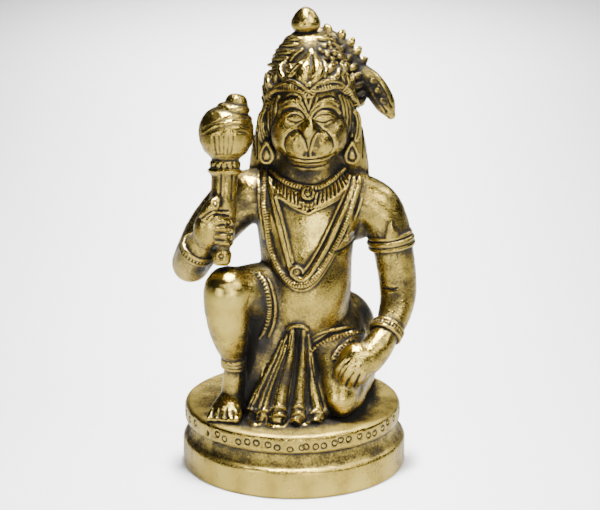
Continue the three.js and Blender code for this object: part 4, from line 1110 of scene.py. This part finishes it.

# Patina, painted shade and painted highlights: black patina and painted shade are laid thickest beside
# the skirt, at the neck, hip and tail, by the armpit, under the elbow and between crown and tail, and the
# knee, chest, brow, nose and foot band are made brighter, part rubbed wear and part painted highlight. Each
# place in the front drawing has its reach in squares and its strength, which is below nothing where it is
# brightened.
patina_shade_and_highlight = np.zeros(len(thin))
for across, down, wide, strength in [
        (252, 330, 20, 1.4), (246, 365, 14, 1.2), (247, 390, 12, 1.2), (252, 408, 9, 0.9),
        (266, 305, 12, 1.0), (262, 285, 8, 0.8), (262, 345, 12, 1.3), (300, 340, 14, 1.1),
        (285, 375, 16, 0.9), (308, 370, 12, 1.0), (268, 385, 12, 0.9), (322, 350, 8, 0.3),
        (307, 174, 13, 0.9), (285, 172, 8, 0.6), (335, 172, 8, 0.8), (362, 296, 12, 1.0), (366, 312, 10, 0.9),
        (352, 318, 8, 0.7), (355, 60, 8, 1.1), (358, 80, 8, 1.2), (362, 95, 8, 1.0), (345, 50, 9, 1.1),
        (362, 65, 9, 0.9), (335, 40, 8, 0.9), (243, 222, 9, 0.9), (246, 205, 7, 0.5), (256, 245, 7, 0.9),
        (200, 270, 6, 0.9), (372, 85, 8, 1.0), (379, 97, 12, 1.1), (387, 110, 8, 0.6), (352, 130, 6, 0.7),
        (345, 118, 4, 0.5), (274, 115, 4, 0.4), (274, 60, 10, 0.5), (280, 50, 8, 0.5), (320, 48, 9, 0.5),
        (265, 75, 7, 0.4), (309, 161, 8, 0.6), (284, 102, 6, 0.2), (338, 102, 6, 0.2), (282, 140, 8, 0.35),
        (237, 104, 8, 0.4), (213, 165, 5, 0.3), (393, 300, 12, 0.45), (398, 280, 9, 0.35), (336, 140, 8, 0.4),
        (250, 380, 10, 0.5), (312, 200, 5, 0.3), (350, 250, 8, 0.5), (270, 458, 9, 0.1), (350, 458, 9, 0.1),
        (300, 438, 14, 0.2), (240, 434, 10, 0.2), (224, 298, 20, -0.6), (225, 325, 14, -0.6),
        (228, 345, 8, -0.4), (313, 227, 17, -0.8), (303, 250, 9, -0.5), (299, 72, 6, -0.4),
        (314, 300, 14, -0.25), (354, 362, 14, -0.6), (337, 402, 9, -0.6), (377, 190, 8, -0.2),
        (214, 405, 9, -0.4), (310, 72, 9, -0.6), (375, 405, 12, -0.5), (390, 395, 12, -0.5),
        (360, 425, 10, -0.5), (190, 405, 12, -0.3), (310, 20, 8, -0.4), (309, 132, 4, -0.6),
        (226, 140, 9, -0.2), (208, 225, 8, -0.4), (293, 107, 7, -0.35), (325, 106, 7, -0.35),
        (304, 103, 4, -0.3), (300, 152, 5, -0.2), (318, 152, 5, -0.2), (225, 480, 18, -0.6),
        (255, 487, 18, -0.6), (290, 490, 18, -0.6), (325, 490, 18, -0.6), (360, 484, 18, -0.6),
        (390, 474, 18, -0.5)]:
    place = np.array(on_front(across, down)[0])
    here = strength * np.exp(-((thin - place) ** 2).sum(1) / (wide * DRAWING_SQUARE) ** 2)
    patina_shade_and_highlight = np.where(np.abs(here) > np.abs(patina_shade_and_highlight), here, patina_shade_and_highlight)

# Rough from the mould: the disc's top and the cove, where no polishing wheel comes. With this the
# casting has all that its brass reads, and it is brought to metres and takes the solid's place.
DISC_FACE = 15.6
COVE_MIDDLE = 9.2
rough_left = np.clip(2.5 * out[:, 2] - 1.25, 0, 1) * (np.abs(thin[:, 2] - DISC_FACE) < 0.6)
rough_left = np.maximum(rough_left, np.clip(1.4 - np.abs(thin[:, 2] - COVE_MIDDLE) / 2.2, 0, 1))
for name, values in (("near_depth", near_depth[same]), ("far_depth", far_depth[same]), ("sky", sky),
                     ("patina_shade_and_highlight", patina_shade_and_highlight), ("rough_left", rough_left)):
    layer = casting.data.attributes.new(name, "FLOAT", "POINT")
    layer.data.foreach_set("value", values.astype(np.float32))
casting.data.transform(Matrix.Scale(0.001, 4))
casting.data.normals_split_custom_set_from_vertices([tuple(n) for n in out])
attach(casting, "root")
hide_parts("hanuman_figure")

# Brass: brighter where hands and cloths rub and as painted highlights, with brown and black patina and
# painted shade in the hollows, small dents and fine pits from the mould, and a mottle of darker gold.
# The patina colours also stand for painted shade, and the rubbed gold for painted highlights.
GOLD = (0.50, 0.367, 0.076)
DEEP_GOLD = (0.40, 0.288, 0.056)
RUBBED_AND_HIGHLIGHT_GOLD = (0.74, 0.56, 0.125)
BROWN_PATINA_AND_SHADE = (0.06, 0.047, 0.022)
BLACK_PATINA_AND_SHADE = (0.014, 0.012, 0.009)
brass = bpy.data.materials.new("cast_brass")
brass.use_nodes = True
nodes, links = brass.node_tree.nodes, brass.node_tree.links
nodes.clear()


def node(kind, **values):
    """A node of the brass with its settings, and its sockets by name."""
    made = nodes.new(kind)
    for name, value in values.items():
        if hasattr(made, name):
            setattr(made, name, value)
        else:
            made.inputs[name.replace("_", " ")].default_value = value
    return made


def feed(socket, given):
    """Links a socket to another, or sets it to a number or a colour."""
    if isinstance(given, bpy.types.NodeSocket):
        links.new(given, socket)
    else:
        socket.default_value = (*given, 1) if isinstance(given, tuple) else given


def attribute(name):
    """A value that the casting carries at each of its points."""
    return node("ShaderNodeAttribute", attribute_name=name).outputs["Fac"]


def calculated(operation, first, *others):
    """The first value with each of the others added to it, taken from it or multiplied into it."""
    for other in others:
        made = node("ShaderNodeMath", operation=operation)
        feed(made.inputs[0], first)
        feed(made.inputs[1], other)
        first = made.outputs[0]
    return first


def ranged(value, low, high, to_low=0.0, to_high=1.0):
    """Brings a value from one range to another with soft ends."""
    made = node("ShaderNodeMapRange", interpolation_type="SMOOTHSTEP")
    for socket, given in zip(made.inputs, (value, low, high, to_low, to_high)):
        feed(socket, given)
    return made.outputs[0]


def noise(scale, detail=4.0, rough=0.55):
    """An uneven field over the casting."""
    made = node("ShaderNodeTexNoise", Scale=scale, Detail=detail, Roughness=rough)
    links.new(places_here, made.inputs["Vector"])
    return made.outputs["Fac"]


def mixed(share, low, high):
    """Two colours mixed by a share."""
    made = node("ShaderNodeMix", data_type="RGBA")
    feed(made.inputs[0], share)
    feed(made.inputs[6], low)
    feed(made.inputs[7], high)
    return made.outputs[2]


places_here = node("ShaderNodeTexCoord").outputs["Object"]
mottle = noise(240)
fine_mottle = noise(2000, 5)
# Darkness summed from hollows, little open sky and the front drawing's strengths: patina and painted shade.
hollow = calculated(
    "ADD", ranged(attribute("near_depth"), -0.02, 0.06), ranged(attribute("far_depth"), -0.1, 0.35, 0.0, 0.8),
    ranged(attribute("sky"), 0.9, 0.3, 0.1, 1.4), calculated("MULTIPLY", attribute("patina_shade_and_highlight"), 1.2),
    ranged(attribute("near_depth"), 0.0, -0.08, 0.0, -0.8), ranged(mottle, 0.3, 0.7, -0.25, 0.35),
    ranged(fine_mottle, 0.3, 0.7, -0.2, 0.28), 0.12)
brown_and_shade = ranged(hollow, 0.1, 1.1)
black = ranged(hollow, 0.9, 1.8)
# Where the front drawing's strengths are below nothing the gold is brighter: rubbed wear and painted
# highlight.
rubbed_and_highlight = ranged(attribute("patina_shade_and_highlight"), -0.12, -0.5)
gold = mixed(rubbed_and_highlight, mixed(ranged(mottle, 0.35, 0.7), GOLD, DEEP_GOLD), RUBBED_AND_HIGHLIGHT_GOLD)
tarnish_and_shade = mixed(calculated("MULTIPLY", brown_and_shade, 0.96), gold, BROWN_PATINA_AND_SHADE)
shader = node("ShaderNodeBsdfPrincipled", Specular_IOR_Level=0.2)
links.new(mixed(black, tarnish_and_shade, BLACK_PATINA_AND_SHADE), shader.inputs["Base Color"])
links.new(ranged(black, 0.0, 1.0, 1.0, 0.4), shader.inputs["Metallic"])
rough = calculated(
    "ADD", ranged(brown_and_shade, 0.0, 1.0, 0.2, 0.36), ranged(black, 0.0, 1.0, 0.0, 0.2),
    ranged(fine_mottle, 0.3, 0.7, -0.05, 0.06), calculated("MULTIPLY", attribute("rough_left"), 0.25),
    calculated("MULTIPLY", rubbed_and_highlight, -0.07))
links.new(rough, shader.inputs["Roughness"])
dents = node("ShaderNodeBump", Strength=0.3, Distance=0.0004)
links.new(noise(380, 3, 0.5), dents.inputs["Height"])
pits = node("ShaderNodeBump", Strength=0.6, Distance=0.00015)
links.new(calculated("SUBTRACT", noise(2400, 3, 0.6), ranged(noise(900, 2), 0.64, 0.7, 0.0, 0.9)),
          pits.inputs["Height"])
links.new(dents.outputs["Normal"], pits.inputs["Normal"])
links.new(pits.outputs["Normal"], shader.inputs["Normal"])
links.new(shader.outputs["BSDF"], node("ShaderNodeOutputMaterial").inputs["Surface"])
casting.data.materials.append(brass)

# Floor: a plain pale matt sheet, wider than the camera sees, that the figure is stood on to be seen.
# It isn't part of the figure.
bpy.ops.mesh.primitive_plane_add(size=6, location=(0, 0, 0))
floor = bpy.context.object
floor.name = "floor"
sheet = bpy.data.materials.new("pale_sheet")
sheet.use_nodes = True
matt = sheet.node_tree.nodes["Principled BSDF"]
matt.inputs["Base Color"].default_value = (0.82, 0.82, 0.82, 1)
matt.inputs["Roughness"].default_value = 0.9
floor.data.materials.append(sheet)

# Light: a narrow strip overhead for the sheet behind the figure, three soft boxes before it, one at the
# right, two behind, and a dark room, so the polished brass has bright and dark to reflect.


def soft_box(name, at, size, power, spread=180, aim=(0, 0, 0.055)):
    """A lamp in a rectangular box with a white front, turned to face its aim."""
    away = Vector(aim) - Vector(at)
    bpy.ops.object.light_add(type="AREA", location=at, rotation=away.to_track_quat("-Z", "Y").to_euler())
    box = bpy.context.object
    box.name = name
    box.data.shape = "RECTANGLE"
    box.data.size, box.data.size_y = size
    box.data.energy = power
    box.data.spread = math.radians(spread)


soft_box("overhead_strip", (0.0, 0.12, 1.1), (0.08, 0.9), 3.6, 20, aim=(0, 0.12, 0))
soft_box("low_front_box", (0.3, -1.15, 0.2), (0.26, 0.2), 4)
soft_box("low_left_box", (-0.75, -0.9, 0.24), (0.16, 0.35), 3.5)
soft_box("high_front_box", (0.12, -0.95, 0.75), (0.22, 0.2), 3)
soft_box("right_box", (0.68, -0.5, 0.75), (0.3, 0.3), 6)
soft_box("back_right_box", (0.72, 0.45, 0.8), (0.25, 0.35), 5)
soft_box("back_box", (0.0, 0.8, 0.9), (0.6, 0.3), 4)
world = bpy.data.worlds.new("room")
world.use_nodes = True
walls = world.node_tree.nodes["Background"]
walls.inputs["Color"].default_value = (0.03, 0.03, 0.032, 1)
walls.inputs["Strength"].default_value = 1
bpy.context.scene.world = world
